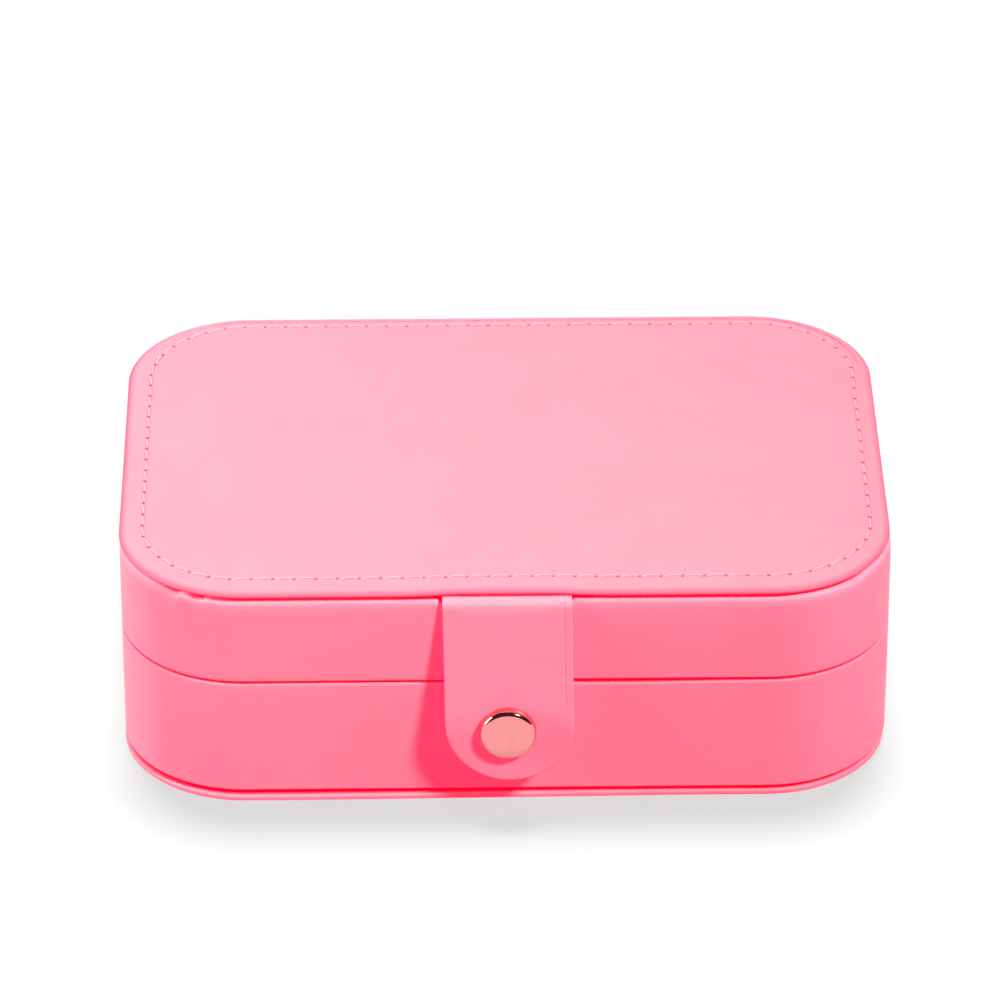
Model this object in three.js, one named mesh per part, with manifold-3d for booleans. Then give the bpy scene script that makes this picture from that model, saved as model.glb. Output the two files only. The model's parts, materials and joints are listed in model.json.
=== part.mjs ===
// A small leather jewellery case with a hinged lid, a press-stud strap and a lined, divided inside.
//
// Units are millimetres and +Z is up. The origin is the centre of the underside. -Y is the front, where the
// strap hangs, and +Y is the hinge side.
//
// The case is built like a book: a base tray on a bottom plate, a lid ring under a top plate, and a leather
// spine across the back. Every wall is a board core with leather outside and velvet inside.

import * as THREE from "three";
import { mergeVertices } from "three/addons/utils/BufferGeometryUtils.js";
import Module from "manifold-3d";

const wasm = await Module();
wasm.setup();

// Case
const WIDTH = 158;
const DEPTH = 112;
const HEIGHT = 50;
const CORNER = 25.6; // corner radius of the two plates, seen from above
const CORNER_STEPS = 5; // twice this many facets per quarter turn
const GLUE = 0.05; // gap left between glued layers

// Heights of the stacked layers
const BOTTOM_PLATE = 1.4;
const BASE_LOW = 2.3;
const BASE_HIGH = 28.05;
const LID_LOW = 28.75;
const LID_HIGH = 48;
const TOP_LOW = 48.65;
const PAD_THICK = 0.3; // foam under the top leather

// Wall layers, as distances inwards from the plates' outline
const COVER_OUT = 0.15;
const CORE_OUT = 0.95;
const NECK_OUT = 2.4; // the core narrows to a neck where it meets a plate
const LINING_OUT = 3.2;
const INSIDE = 4;

// Skins
const LEATHER = 0.75;
const VELVET = 0.7;
const CEILING = TOP_LOW - GLUE - VELVET; // the lid lining's flat face
const PLATE_SKIN = 0.4;
const BOARD_INSET = 1;
const COVER_EDGE = 0.4; // rounding of the leather where it turns over a wall's rim
const PLATE_EDGE = 0.6; // rounding of the leather round a plate's board

// Hinge spine
const SPINE_WIDTH = 100;
const SPINE_THICK = 0.55;

// Closing strap. It hangs away from the wall by the height of the press stud.
const STRAP_WIDTH = 26.4;
const STRAP_TOP = 47.8;
const STRAP_BEND = 29; // height where the leaning upper part meets the hanging lower part
const STRAP_BOW = 4; // half the length over which it turns
const STRAP_END = 7.9;
const STRAP_BACK_TOP = -56; // y of the strap's inner face under the top plate
const STRAP_BACK_LOW = -59.1; // y of the inner face over the press stud
const STRAP_LINING = 0.75;
const STRAP_THICK = 1.75;
const ROOT_DEEP = 2.8; // how far the strap reaches in between the lid ring and the top plate
const ROOT_THICK = 0.7;

// Press stud
const SNAP_Z = 19.8;
const CAP_RADIUS = 6;
const CAP_HEIGHT = 1.5;
const SOCKET_RADIUS = 4.8;
const SOCKET_HIGH = 1.55;
const STUD_RADIUS = 4.8;
const NUB_RADIUS = 1.9;
const SHANK_RADIUS = 1.2;
const SHANK_HOLE = 1.5; // radius of the holes that the shanks pass through
const WASHER_RADIUS = 3.6;

// Inside the base
const FLOOR = BASE_LOW;
const PARTITION_X = 26.5;
const PARTITION_THICK = 2;
const PARTITION_TOP = 22.5;
const BED_THICK = 3.2;
const ROLLS = 7;
const ROLL_RADIUS = 7.1;
const DIVIDER_THICK = 2.4;
const DIVIDER_TOP = 20;
const FIT = 0.3; // clearance of a piece that lifts out

// Inside the lid
const MIRROR_X = -22;
const MIRROR_WIDE = 84;
const MIRROR_DEEP = 64;
const HOOKS = 4;
const HOOK_FIRST_X = 35;
const HOOK_PITCH = 9.3;
const HOOK_Y = -39.5;
const HOOK_WIRE = 0.65;

const material = (color, roughness, metalness = 0) =>
  new THREE.MeshStandardMaterial({ color, roughness, metalness });

const MATERIALS = {
  leather: material(0xfe8ba4, 0.5),
  velvet: material(0xf4c4cf, 0.95),
  board: material(0x9a8a78, 0.9),
  foam: material(0xf2efe8, 0.95),
  nickel: material(0xe9d5d3, 0.18, 1),
  mirror: material(0xf2f5f6, 0.03, 1),
  elastic: material(0xf0a3b5, 0.85),
};

// The plates' outline, moved inwards by `inset`.
function outline(inset) {
  const x = WIDTH / 2 - CORNER;
  const y = DEPTH / 2 - CORNER;
  const r = CORNER - inset;
  const shape = new THREE.Shape();
  shape.absarc(x, -y, r, -Math.PI / 2, 0);
  shape.absarc(x, y, r, 0, Math.PI / 2);
  shape.absarc(-x, y, r, Math.PI / 2, Math.PI);
  shape.absarc(-x, -y, r, Math.PI, Math.PI * 1.5);
  shape.closePath();
  return shape;
}

// A solid of the case's outline between two heights, with its upper and lower edges rounded by `edge`.
function slab(inset, low, high, edge = 0) {
  const geometry = new THREE.ExtrudeGeometry(outline(inset + edge), {
    depth: high - low - 2 * edge,
    curveSegments: CORNER_STEPS,
    bevelEnabled: edge > 0,
    bevelSize: edge,
    bevelThickness: edge,
    bevelSegments: 2,
  });
  return solid(geometry.translate(0, 0, low + edge));
}

// A box between two corners.
function block([x0, y0, z0], [x1, y1, z1]) {
  const geometry = new THREE.BoxGeometry(x1 - x0, y1 - y0, z1 - z0);
  return solid(geometry.translate((x0 + x1) / 2, (y0 + y1) / 2, (z0 + z1) / 2));
}

// A turned piece on an axis along Y, at the height of the press stud. The profile lists [radius, y] and runs
// from front to back along its outside.
function turned(profile) {
  const points = profile.map(([radius, y]) => new THREE.Vector2(radius, y));
  return solid(new THREE.LatheGeometry(points, 28).translate(0, 0, SNAP_Z));
}

function disc(radius, front, back) {
  return turned([[0, front], [radius, front], [radius, back], [0, back]]);
}

// A bevelled panel that lies flat, between two corners, with rounded corners of radius `r`.
function panel([x0, y0, z0], [x1, y1, z1], r) {
  const shape = new THREE.Shape();
  shape.absarc(x1 - r, y0 + r, r, -Math.PI / 2, 0);
  shape.absarc(x1 - r, y1 - r, r, 0, Math.PI / 2);
  shape.absarc(x0 + r, y1 - r, r, Math.PI / 2, Math.PI);
  shape.absarc(x0 + r, y0 + r, r, Math.PI, Math.PI * 1.5);
  shape.closePath();
  const options = { depth: z1 - z0, curveSegments: 3, bevelEnabled: false };
  return solid(new THREE.ExtrudeGeometry(shape, options).translate(0, 0, z0));
}

function solid(geometry) {
  geometry.deleteAttribute("normal");
  geometry.deleteAttribute("uv");
  const merged = mergeVertices(geometry, 1e-4);
  const mesh = new wasm.Mesh({
    numProp: 3,
    vertProperties: merged.attributes.position.array,
    triVerts: new Uint32Array(merged.index.array),
  });
  return new wasm.Manifold(mesh);
}

function named(name, slot, shape) {
  const { vertProperties, triVerts } = shape.getMesh();
  const geometry = new THREE.BufferGeometry();
  geometry.setAttribute("position", new THREE.BufferAttribute(vertProperties, 3));
  geometry.setIndex(new THREE.BufferAttribute(triVerts, 1));
  geometry.computeVertexNormals();
  const mesh = new THREE.Mesh(geometry, MATERIALS[slot]);
  mesh.name = name;
  return mesh;
}

// Bottom plate: leather wrapped round a board, open towards the tray above it.
function bottomPlate() {
  const pocket = slab(BOARD_INSET, PLATE_SKIN, BOTTOM_PLATE + 1);
  return [
    named("bottom_cover", "leather", slab(0, 0, BOTTOM_PLATE, PLATE_EDGE).subtract(pocket)),
    named(
      "bottom_board",
      "board",
      slab(BOARD_INSET + GLUE, PLATE_SKIN + GLUE, BOTTOM_PLATE - GLUE),
    ),
  ];
}

// Top plate: leather over a thin foam pad and a board, open towards the lid ring below it.
function topPlate() {
  const pocket = slab(BOARD_INSET, TOP_LOW - 1, HEIGHT - PLATE_SKIN);
  const padLow = HEIGHT - PLATE_SKIN - PAD_THICK;
  return [
    named("top_cover", "leather", slab(0, TOP_LOW, HEIGHT, PLATE_EDGE).subtract(pocket)),
    named("top_pad", "foam", slab(BOARD_INSET + GLUE, padLow, HEIGHT - PLATE_SKIN - GLUE)),
    named("top_board", "board", slab(BOARD_INSET + GLUE, TOP_LOW + GLUE, padLow - GLUE)),
  ];
}

// One wall's leather: a ring that turns over both rims, as far as the lining at the parting line and as far
// as the core's neck at the plate. `plateSide` is -1 where the plate is below and 1 where it is above.
function wallCover(low, high, plateSide) {
  const [neckLow, neckHigh] = plateSide > 0 ? [high - 2 * LEATHER, high + 1] : [low - 1, low + 2 * LEATHER];
  return slab(COVER_OUT, low, high, COVER_EDGE)
    .subtract(slab(CORE_OUT, low + LEATHER, high - LEATHER))
    .subtract(slab(NECK_OUT, neckLow, neckHigh))
    .subtract(slab(INSIDE, low - 1, high + 1));
}

// One wall's board inside its leather, with a neck that reaches the plate.
function wallCore(low, high, neckLow, neckHigh) {
  const inner = slab(LINING_OUT - GLUE, neckLow - 1, neckHigh + 1);
  return slab(CORE_OUT + GLUE, low, high)
    .add(slab(NECK_OUT + GLUE, neckLow, neckHigh))
    .subtract(inner);
}

// A velvet tray: the lining of the base or, turned over, that of the lid.
function lining(low, high, hollowLow, hollowHigh) {
  return slab(LINING_OUT, low, high).subtract(slab(INSIDE, hollowLow, hollowHigh));
}

// The press stud on the base wall, and the washer it is riveted to.
function pressStud(wall) {
  const flangeFront = wall - GLUE - 0.6;
  const tip = flangeFront - 0.7;
  const washerBack = -DEPTH / 2 + LINING_OUT - 0.25;
  const stud = turned([
    [0, tip],
    [NUB_RADIUS - 0.4, tip],
    [NUB_RADIUS, tip + 0.4],
    [NUB_RADIUS - 0.3, flangeFront],
    [STUD_RADIUS - 0.3, flangeFront],
    [STUD_RADIUS, flangeFront + 0.25],
    [STUD_RADIUS, wall - GLUE],
    [SHANK_RADIUS, wall - GLUE],
    [SHANK_RADIUS, washerBack],
    [0, washerBack],
  ]);
  const washer = disc(WASHER_RADIUS, washerBack - 0.5, washerBack).subtract(
    disc(SHANK_HOLE, washerBack - 1, washerBack + 1),
  );
  return [named("snap_stud", "nickel", stud), named("snap_stud_washer", "nickel", washer)];
}

function baseTray() {
  const wall = -DEPTH / 2 + COVER_OUT;
  const inner = -DEPTH / 2 + LINING_OUT;
  const shankHole = disc(SHANK_HOLE, wall - 5, inner + 1);
  const washerRecess = disc(WASHER_RADIUS + FIT, inner - 1, inner + 1);
  const low = BASE_LOW + LEATHER + GLUE;
  const rim = BASE_HIGH - LEATHER - GLUE;
  const neckLow = BOTTOM_PLATE + GLUE;
  const core = wallCore(low, rim, neckLow, rim).subtract(shankHole).subtract(washerRecess);
  return [
    named("base_wall_cover", "leather", wallCover(BASE_LOW, BASE_HIGH, -1).subtract(shankHole)),
    named("base_wall_core", "board", core),
    named("base_lining", "velvet", lining(neckLow, rim, FLOOR, BASE_HIGH)),
    ...pressStud(wall),
  ];
}

// Foam rolls that grip rings between them, in the middle bay.
function ringBay() {
  const half = PARTITION_X - PARTITION_THICK / 2 - FIT;
  const side = DEPTH / 2 - INSIDE - FIT;
  const bedTop = FLOOR + GLUE + BED_THICK;
  const pitch = (2 * (side - ROLL_RADIUS)) / (ROLLS - 1);
  const pieces = [named("ring_bed", "foam", block([-half, -side, FLOOR + GLUE], [half, side, bedTop]))];
  for (let i = 0; i < ROLLS; i++) {
    const roll = new THREE.CylinderGeometry(ROLL_RADIUS, ROLL_RADIUS, 2 * half, 20);
    roll.rotateZ(Math.PI / 2);
    roll.translate(0, -side + ROLL_RADIUS + i * pitch, bedTop + GLUE + ROLL_RADIUS);
    pieces.push(named(`ring_roll_${i + 1}`, "velvet", solid(roll)));
  }
  for (const [name, x] of [["partition_left", -PARTITION_X], ["partition_right", PARTITION_X]]) {
    const t = PARTITION_THICK / 2;
    pieces.push(named(name, "velvet", block([x - t, -side, FLOOR + GLUE], [x + t, side, PARTITION_TOP])));
  }
  return pieces;
}

// A divider that lifts out of a side bay. `sideOf` is -1 on the left and 1 on the right.
function divider(name, sideOf, y) {
  const near = PARTITION_X + PARTITION_THICK / 2 + FIT;
  const far = WIDTH / 2 - INSIDE - 2 * FIT;
  const [x0, x1] = sideOf < 0 ? [-far, -near] : [near, far];
  const t = DIVIDER_THICK / 2;
  return named(name, "velvet", block([x0, y - t, FLOOR + FIT], [x1, y + t, DIVIDER_TOP]));
}

function lidRing() {
  const rim = LID_LOW + LEATHER + GLUE;
  const high = LID_HIGH - LEATHER - GLUE;
  const neckHigh = TOP_LOW - GLUE;
  const notchHalf = STRAP_WIDTH / 2 + FIT;
  const notchBack = -DEPTH / 2 + INSIDE;
  const notch = block([-notchHalf, -DEPTH, high], [notchHalf, notchBack, HEIGHT]);
  return [
    named("lid_wall_cover", "leather", wallCover(LID_LOW, LID_HIGH, 1).subtract(notch)),
    named("lid_wall_core", "board", wallCore(rim, high, rim, neckHigh).subtract(notch)),
    named("lid_lining", "velvet", lining(rim, neckHigh, LID_LOW, CEILING)),
  ];
}

// Mirror in the lid: glass on a card, held by a rim with a lip over the glass.
function mirror() {
  const [w, d] = [MIRROR_WIDE / 2, MIRROR_DEEP / 2];
  const around = (grow, low, high, r) =>
    panel(
      [MIRROR_X - w - grow, -d - grow, CEILING - low],
      [MIRROR_X + w + grow, d + grow, CEILING - high],
      r,
    );
  const rim = around(4, 3.7, GLUE, 6)
    .subtract(around(FIT, 3, -1, 2))
    .subtract(around(-2, 5, 1, 2));
  return [
    named("mirror_frame", "leather", rim),
    named("mirror_glass", "mirror", around(0, 2.9, 1.3, 2)),
    named("mirror_backing", "board", around(0, 1.25, GLUE, 2)),
  ];
}

// A J-shaped wire on a round foot. Its open side faces the front edge, which is up when the lid stands open.
function necklaceHook(name, x, top) {
  const path = new THREE.CatmullRomCurve3([
    new THREE.Vector3(x, HOOK_Y, top - 0.3),
    new THREE.Vector3(x, HOOK_Y, top - 3),
    new THREE.Vector3(x, HOOK_Y - 0.4, top - 5),
    new THREE.Vector3(x, HOOK_Y - 1.8, top - 6),
    new THREE.Vector3(x, HOOK_Y - 3.2, top - 5.8),
  ]);
  const section = new THREE.Shape().absarc(0, 0, HOOK_WIRE, 0, 2 * Math.PI);
  const wire = new THREE.ExtrudeGeometry(section, { steps: 14, curveSegments: 4, extrudePath: path });
  const foot = new THREE.CylinderGeometry(2.1, 2.3, 0.6, 16).rotateX(-Math.PI / 2);
  foot.translate(x, HOOK_Y, top - 0.3);
  return named(name, "nickel", solid(wire).add(solid(foot)));
}

function hookBar() {
  const barLow = CEILING - 2.6;
  const pieces = [named("hook_bar", "velvet", panel([31, -43.5, barLow], [67, -35.5, CEILING - GLUE], 2))];
  for (let i = 0; i < HOOKS; i++) {
    pieces.push(necklaceHook(`necklace_hook_${i + 1}`, HOOK_FIRST_X + i * HOOK_PITCH, barLow - GLUE));
  }
  return pieces;
}

// Elastic pocket under the hooks, shown empty, when it lies flat.
function pocket() {
  const panelLow = CEILING - 0.8;
  return [
    named("pocket_panel", "velvet", panel([30, 7.5, panelLow], [68, 42, CEILING - GLUE], 3)),
    named("pocket_pouch", "velvet", panel([31, 11, panelLow - 1.8], [67, 41, panelLow - GLUE], 3)),
    named("pocket_elastic", "elastic", panel([31, 8.2, panelLow - 2], [67, 10.9, panelLow - GLUE], 0.6)),
  ];
}

function spine(name, low, high) {
  const y = DEPTH / 2 - COVER_OUT + GLUE;
  const half = SPINE_WIDTH / 2;
  return named(name, "leather", block([-half, y, low], [half, y + SPINE_THICK, high]));
}

// The strap's profile in the YZ plane between two distances outwards from its inner face.
function strapBand(inner, outer) {
  const lean = (z) =>
    STRAP_BACK_LOW +
    ((z - STRAP_BEND) * (STRAP_BACK_TOP - STRAP_BACK_LOW)) / (STRAP_TOP - STRAP_BEND);
  const shape = new THREE.Shape();
  shape.moveTo(STRAP_BACK_TOP - inner, STRAP_TOP);
  shape.lineTo(STRAP_BACK_TOP - outer, STRAP_TOP);
  shape.lineTo(lean(STRAP_BEND + STRAP_BOW) - outer, STRAP_BEND + STRAP_BOW);
  shape.quadraticCurveTo(
    STRAP_BACK_LOW - outer, STRAP_BEND, STRAP_BACK_LOW - outer, STRAP_BEND - STRAP_BOW,
  );
  shape.lineTo(STRAP_BACK_LOW - outer, STRAP_END - 1);
  shape.lineTo(STRAP_BACK_LOW - inner, STRAP_END - 1);
  shape.lineTo(STRAP_BACK_LOW - inner, STRAP_BEND - STRAP_BOW);
  shape.quadraticCurveTo(
    STRAP_BACK_LOW - inner, STRAP_BEND, lean(STRAP_BEND + STRAP_BOW) - inner, STRAP_BEND + STRAP_BOW,
  );
  shape.closePath();
  const options = { depth: STRAP_WIDTH + 2, curveSegments: 6, bevelEnabled: false };
  const toYZ = new THREE.Matrix4().makeBasis(
    new THREE.Vector3(0, 1, 0),
    new THREE.Vector3(0, 0, 1),
    new THREE.Vector3(1, 0, 0),
  );
  const band = new THREE.ExtrudeGeometry(shape, options).applyMatrix4(toYZ);
  return solid(band.translate(-STRAP_WIDTH / 2 - 1, 0, 0));
}

// The strap's face outline: straight sides and a half-round end, as a block to cut a band with.
function strapOutline(narrower) {
  const half = STRAP_WIDTH / 2 - narrower;
  const shape = new THREE.Shape();
  shape.moveTo(half, STRAP_TOP + 1);
  shape.lineTo(-half, STRAP_TOP + 1);
  shape.absarc(0, STRAP_END + STRAP_WIDTH / 2, half, Math.PI, 2 * Math.PI);
  shape.closePath();
  const options = { depth: 20, curveSegments: 10, bevelEnabled: false };
  const cutter = new THREE.ExtrudeGeometry(shape, options).rotateX(Math.PI / 2);
  return solid(cutter.translate(0, STRAP_BACK_TOP + 10, 0));
}

function strap() {
  const hole = disc(SHANK_HOLE, STRAP_BACK_LOW - 5, STRAP_BACK_LOW + 5);
  const ply = (inner, outer, narrower) =>
    strapBand(inner, outer).intersect(strapOutline(narrower)).subtract(hole);
  return [
    named("strap_outer", "leather", ply(STRAP_LINING + GLUE, STRAP_THICK, 0)),
    named("strap_lining", "leather", ply(0, STRAP_LINING, 0.3)),
    ...snapCap(),
  ];
}

// The cap shows on the strap, and its shank holds the socket behind it.
function snapCap() {
  const face = STRAP_BACK_LOW - STRAP_THICK - GLUE;
  const back = STRAP_BACK_LOW + GLUE;
  const dome = [0, 0.35, 0.62, 0.82, 0.95].map((k) => [
    CAP_RADIUS * k,
    face - 0.45 - (CAP_HEIGHT - 0.45) * Math.sqrt(1 - k * k),
  ]);
  const cap = turned([
    ...dome,
    [CAP_RADIUS, face - 0.45],
    [CAP_RADIUS - 0.15, face],
    [SHANK_RADIUS, face],
    [SHANK_RADIUS, back + 0.6],
    [0, back + 0.6],
  ]);
  const socket = turned([
    [SHANK_HOLE, back],
    [SOCKET_RADIUS, back],
    [SOCKET_RADIUS, back + SOCKET_HIGH - 0.3],
    [SOCKET_RADIUS - 0.3, back + SOCKET_HIGH],
    [NUB_RADIUS + 0.4, back + SOCKET_HIGH],
    [NUB_RADIUS + 0.4, back + 0.5],
    [SHANK_HOLE, back + 0.5],
    [SHANK_HOLE, back],
  ]);
  return [named("snap_cap", "nickel", cap), named("snap_socket", "nickel", socket)];
}

// The strap's root is glued into the notch between the lid ring and the top plate.
function strapRoot() {
  const half = STRAP_WIDTH / 2;
  const front = STRAP_BACK_TOP;
  const low = TOP_LOW - GLUE - ROOT_THICK;
  return named(
    "strap_root",
    "leather",
    block([-half, front, low], [half, front + ROOT_DEEP, TOP_LOW - GLUE]),
  );
}

function body(name, ...pieces) {
  const group = new THREE.Group();
  group.name = name;
  group.add(...pieces.flat());
  return group;
}

const jewelleryCase = body(
  "jewellery_case",
  body("base", bottomPlate(), baseTray(), ringBay(), spine("spine_lower", BASE_LOW, BASE_HIGH)),
  body("dividers", [
    divider("divider_left_front", -1, -18),
    divider("divider_left_rear", -1, 18),
    divider("divider_right", 1, 0),
  ]),
  body(
    "lid",
    topPlate(),
    lidRing(),
    spine("spine_upper", LID_LOW, LID_HIGH),
    mirror(),
    hookBar(),
    pocket(),
    strapRoot(),
  ),
  body("strap", strap()),
);

export default jewelleryCase;
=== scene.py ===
"""A leather jewellery case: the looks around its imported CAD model.

Everything is in metres in the model's own frame: +Z up, -Y the front, the origin under the middle of the
case. Small lengths are written in millimetres and multiplied by MM.
"""

import json
import math

import bmesh
import bpy
import numpy as np
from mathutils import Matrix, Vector, noise
from mathutils.geometry import delaunay_2d_cdt


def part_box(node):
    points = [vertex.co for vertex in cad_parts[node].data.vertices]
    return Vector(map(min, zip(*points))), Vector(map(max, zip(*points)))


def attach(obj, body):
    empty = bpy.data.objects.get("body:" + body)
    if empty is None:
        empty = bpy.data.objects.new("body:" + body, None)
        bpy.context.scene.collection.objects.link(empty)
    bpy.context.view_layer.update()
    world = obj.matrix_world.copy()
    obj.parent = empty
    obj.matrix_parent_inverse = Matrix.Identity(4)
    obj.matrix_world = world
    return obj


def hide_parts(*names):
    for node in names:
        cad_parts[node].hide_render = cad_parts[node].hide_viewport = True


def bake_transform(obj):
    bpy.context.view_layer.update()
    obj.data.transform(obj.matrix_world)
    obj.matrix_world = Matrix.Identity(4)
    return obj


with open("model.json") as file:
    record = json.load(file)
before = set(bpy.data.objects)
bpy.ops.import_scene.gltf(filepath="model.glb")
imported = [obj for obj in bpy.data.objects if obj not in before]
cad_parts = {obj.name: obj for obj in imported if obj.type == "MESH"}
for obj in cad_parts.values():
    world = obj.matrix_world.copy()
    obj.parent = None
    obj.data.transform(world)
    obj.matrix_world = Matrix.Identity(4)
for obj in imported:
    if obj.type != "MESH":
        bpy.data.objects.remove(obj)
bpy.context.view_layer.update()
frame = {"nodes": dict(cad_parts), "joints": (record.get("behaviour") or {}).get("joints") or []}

MM = 0.001
CORNER = 25.6 * MM  # corner radius of the plates, seen from above
SKIN = 0.75 * MM  # wall leather
COVER_OUT = 0.15 * MM  # how far the walls stand back from the plates' outline
NECK_OUT = 2.35 * MM  # where the wall leather turns up or down to a plate
LINING_OUT = 3.2 * MM
INSIDE = 4 * MM  # from the plates' outline to the velvet

STITCHES = 107
FIRST_HOLE = 0.42 * MM
THREAD_RADIUS = 0.20 * MM


def heights(node):
    low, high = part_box(node)
    return low.z, high.z


BASE_LOW, BASE_HIGH = heights("base_wall_cover")
LID_LOW, LID_HIGH = heights("lid_wall_cover")
BOTTOM_HIGH = heights("bottom_cover")[1]
TOP_LOW, TOP_HIGH = heights("top_cover")
HALF_X, HALF_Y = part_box("top_cover")[1].xy


# ---------------------------------------------------------------- outlines and meshes


class RoundedRectangle:
    """An outline seen from above, walked anticlockwise from the middle of its front."""

    def __init__(self, half_x, half_y, radius, centre=(0, 0)):
        self.x, self.y, self.radius, self.centre = half_x - radius, half_y - radius, radius, centre

    def length(self):
        return 4 * (self.x + self.y) + 2 * math.pi * self.radius

    def marks(self, positions):
        """The side (even) or corner (odd) and the share of it reached at each arc length."""
        turn = self.radius * math.pi / 2
        lengths = np.array([self.x, turn, 2 * self.y, turn, 2 * self.x, turn, 2 * self.y, turn, self.x])
        ends = np.cumsum(lengths)
        at = np.mod(positions, self.length())
        step = np.minimum(np.searchsorted(ends, at, side="right"), len(lengths) - 1)
        return step, (at - (ends - lengths)[step]) / lengths[step]

    def at_marks(self, marks):
        """Turning centres and outward normals at the marks of this or another outline."""
        x, y = self.x, self.y
        corners = np.array([(0, -y), (x, -y), (x, y), (-x, y), (-x, -y), (0, -y)])
        step, share = marks
        side, on_corner = (step + 1) // 2, step % 2 == 1
        start = corners[np.where(on_corner, side, step // 2)]
        end = corners[np.where(on_corner, side, step // 2 + 1)]
        centres = start + (end - start) * share[:, None]
        facing = (step // 2 - 1 + on_corner * share) * math.pi / 2
        return centres + np.array(self.centre), np.column_stack([np.cos(facing), np.sin(facing)])

    def walk(self, positions):
        return self.at_marks(self.marks(positions))

    def spaced(self, spacing):
        """Arc lengths all the way round, about `spacing` apart."""
        count = round(self.length() / spacing)
        return np.arange(count) * self.length() / count


CASE = RoundedRectangle(HALF_X, HALF_Y, CORNER)
# The seam was sewn slightly off centre: it lies closer to the edge at the back and on the right.
SEAM = RoundedRectangle(HALF_X - 4.35 * MM, HALF_Y - 4.83 * MM, 21 * MM, (0.35 * MM, 1.07 * MM))


def from_front(positions):
    """Arc lengths along the case's outline from the middle of its front, negative on the left."""
    return np.where(positions > CASE.length() / 2, positions - CASE.length(), positions)


def smooth_noise(points, wavelength, seed):
    """Perlin noise from about -1 to 1 at each point of an (n, 3) array."""
    offset = Vector((seed, 2 * seed, 3 * seed))
    return np.array([noise.noise(Vector(p) / wavelength + offset) for p in points])


def sheet_noise(u, v, wavelength, seed):
    """Perlin noise over a flat sheet, for arrays of two coordinates."""
    points = np.column_stack([u.ravel(), v.ravel(), np.zeros(u.size)])
    return smooth_noise(points, wavelength, seed).reshape(u.shape)


def bell(x, centre, width):
    """A bell curve: 1 at the centre and 0.37 one width away."""
    return np.exp(-(((x - centre) / width) ** 2))


def ramp(x, start, end):
    """0 at `start` and before it, 1 at `end` and past it, with a straight line between."""
    return np.clip((x - start) / (end - start), 0, 1)


def face_outwards(mesh, weld=None):
    """Turns a mesh's faces outwards. With `weld`, points closer together than that are joined first."""
    edit = bmesh.new()
    edit.from_mesh(mesh)
    if weld:
        bmesh.ops.remove_doubles(edit, verts=edit.verts, dist=weld)
    bmesh.ops.recalc_face_normals(edit, faces=edit.faces)
    edit.to_mesh(mesh)
    edit.free()


def piece(name, vertices, faces, finish, slot, body=None, replaces=(), crease=None, **painted_light):
    """A mesh object with outward faces and smooth shading. Edges sharper than `crease` degrees stay sharp.
    The keyword arguments give painted light at each vertex: painted shade in gaps (depth), darker painted
    shade in needle holes (hole) and a painted highlight (stretch)."""
    mesh = bpy.data.meshes.new(name)
    mesh.from_pydata([tuple(v) for v in vertices], [], faces)
    for attribute, values in painted_light.items():
        layer = mesh.attributes.new(attribute, "FLOAT", "POINT")
        layer.data.foreach_set("value", np.asarray(values, np.float32))
    face_outwards(mesh)
    mesh.shade_smooth()
    if crease:
        mesh.set_sharp_from_angle(angle=math.radians(crease))
    mesh.materials.append(finish)
    thing = bpy.data.objects.new(name, mesh)
    bpy.context.scene.collection.objects.link(thing)
    if body:
        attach(thing, body)
    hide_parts(*replaces)
    return thing


def ring_faces(stations, points, closed_profile):
    """Quads between the rings of a sweep whose vertices are ordered by station, then by profile point."""
    faces = []
    for i in range(stations):
        a, b = i * points, (i + 1) % stations * points
        for j in range(points if closed_profile else points - 1):
            k = (j + 1) % points
            faces.append((a + j, b + j, b + k, a + k))
    return faces


def swept(outline, positions, profile):
    """Points of a profile of (inset, z) carried round an outline, as (stations, profile points, 3)."""
    centres, normals = outline.walk(positions)
    inset, z = np.array(profile).T
    xy = centres[:, None] + normals[:, None] * (outline.radius - inset)[None, :, None]
    return np.concatenate([xy, np.broadcast_to(z, xy.shape[:2])[..., None]], axis=2)


def two_sided(front, back):
    """A closed sheet from the two equal grids of points that are its front and its back."""
    index = np.arange(2 * front[..., 0].size).reshape(2, *front.shape[:2])
    quads = []
    for layer in index:
        quads.append(np.stack([layer[:-1, :-1], layer[:-1, 1:], layer[1:, 1:], layer[1:, :-1]], axis=2))
    for near, far in (index[:, :, [0, -1]], index[:, [0, -1]].transpose(0, 2, 1)):
        quads.append(np.stack([near[:-1], near[1:], far[1:], far[:-1]], axis=2))
    faces = [tuple(quad) for part in quads for quad in part.reshape(-1, 4).tolist()]
    return np.concatenate([front.reshape(-1, 3), back.reshape(-1, 3)]), faces


def filled(boundary, spacing, height):
    """Triangles that fill a closed loop of (x, y, z) points, with inner points on a grid.
    `height(x, y)` gives the inner points' z. Returns the inner points and triangles over boundary + inner."""
    flat = boundary[:, :2]
    low, high = flat.min(0), flat.max(0)
    columns, rows = [np.arange(a + spacing, b - spacing / 2, spacing) for a, b in zip(low, high)]
    x, y = [v.ravel() for v in np.meshgrid(columns, rows)]
    ahead = np.roll(flat, -1, axis=0)
    crossing = np.zeros(len(x), int)
    near = np.full(len(x), np.inf)
    for (ax, ay), (bx, by) in zip(flat, ahead):
        near = np.minimum(near, np.hypot(x - ax, y - ay))
        spans = (ay > y) != (by > y)
        if spans.any():
            crossing += spans & (x < (bx - ax) * (y - ay) / (by - ay + 1e-15) + ax)
    keep = (crossing % 2 == 1) & (near > spacing * 0.6)
    x, y = x[keep], y[keep]
    points = [Vector(p) for p in flat] + [Vector(p) for p in zip(x, y)]
    edges = [(i, (i + 1) % len(flat)) for i in range(len(flat))]
    triangles = delaunay_2d_cdt(points, edges, [], 1, 1e-9)[2]
    inner = np.column_stack([x, y, height(x, y)])
    return inner, [tuple(t) for t in triangles]


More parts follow.
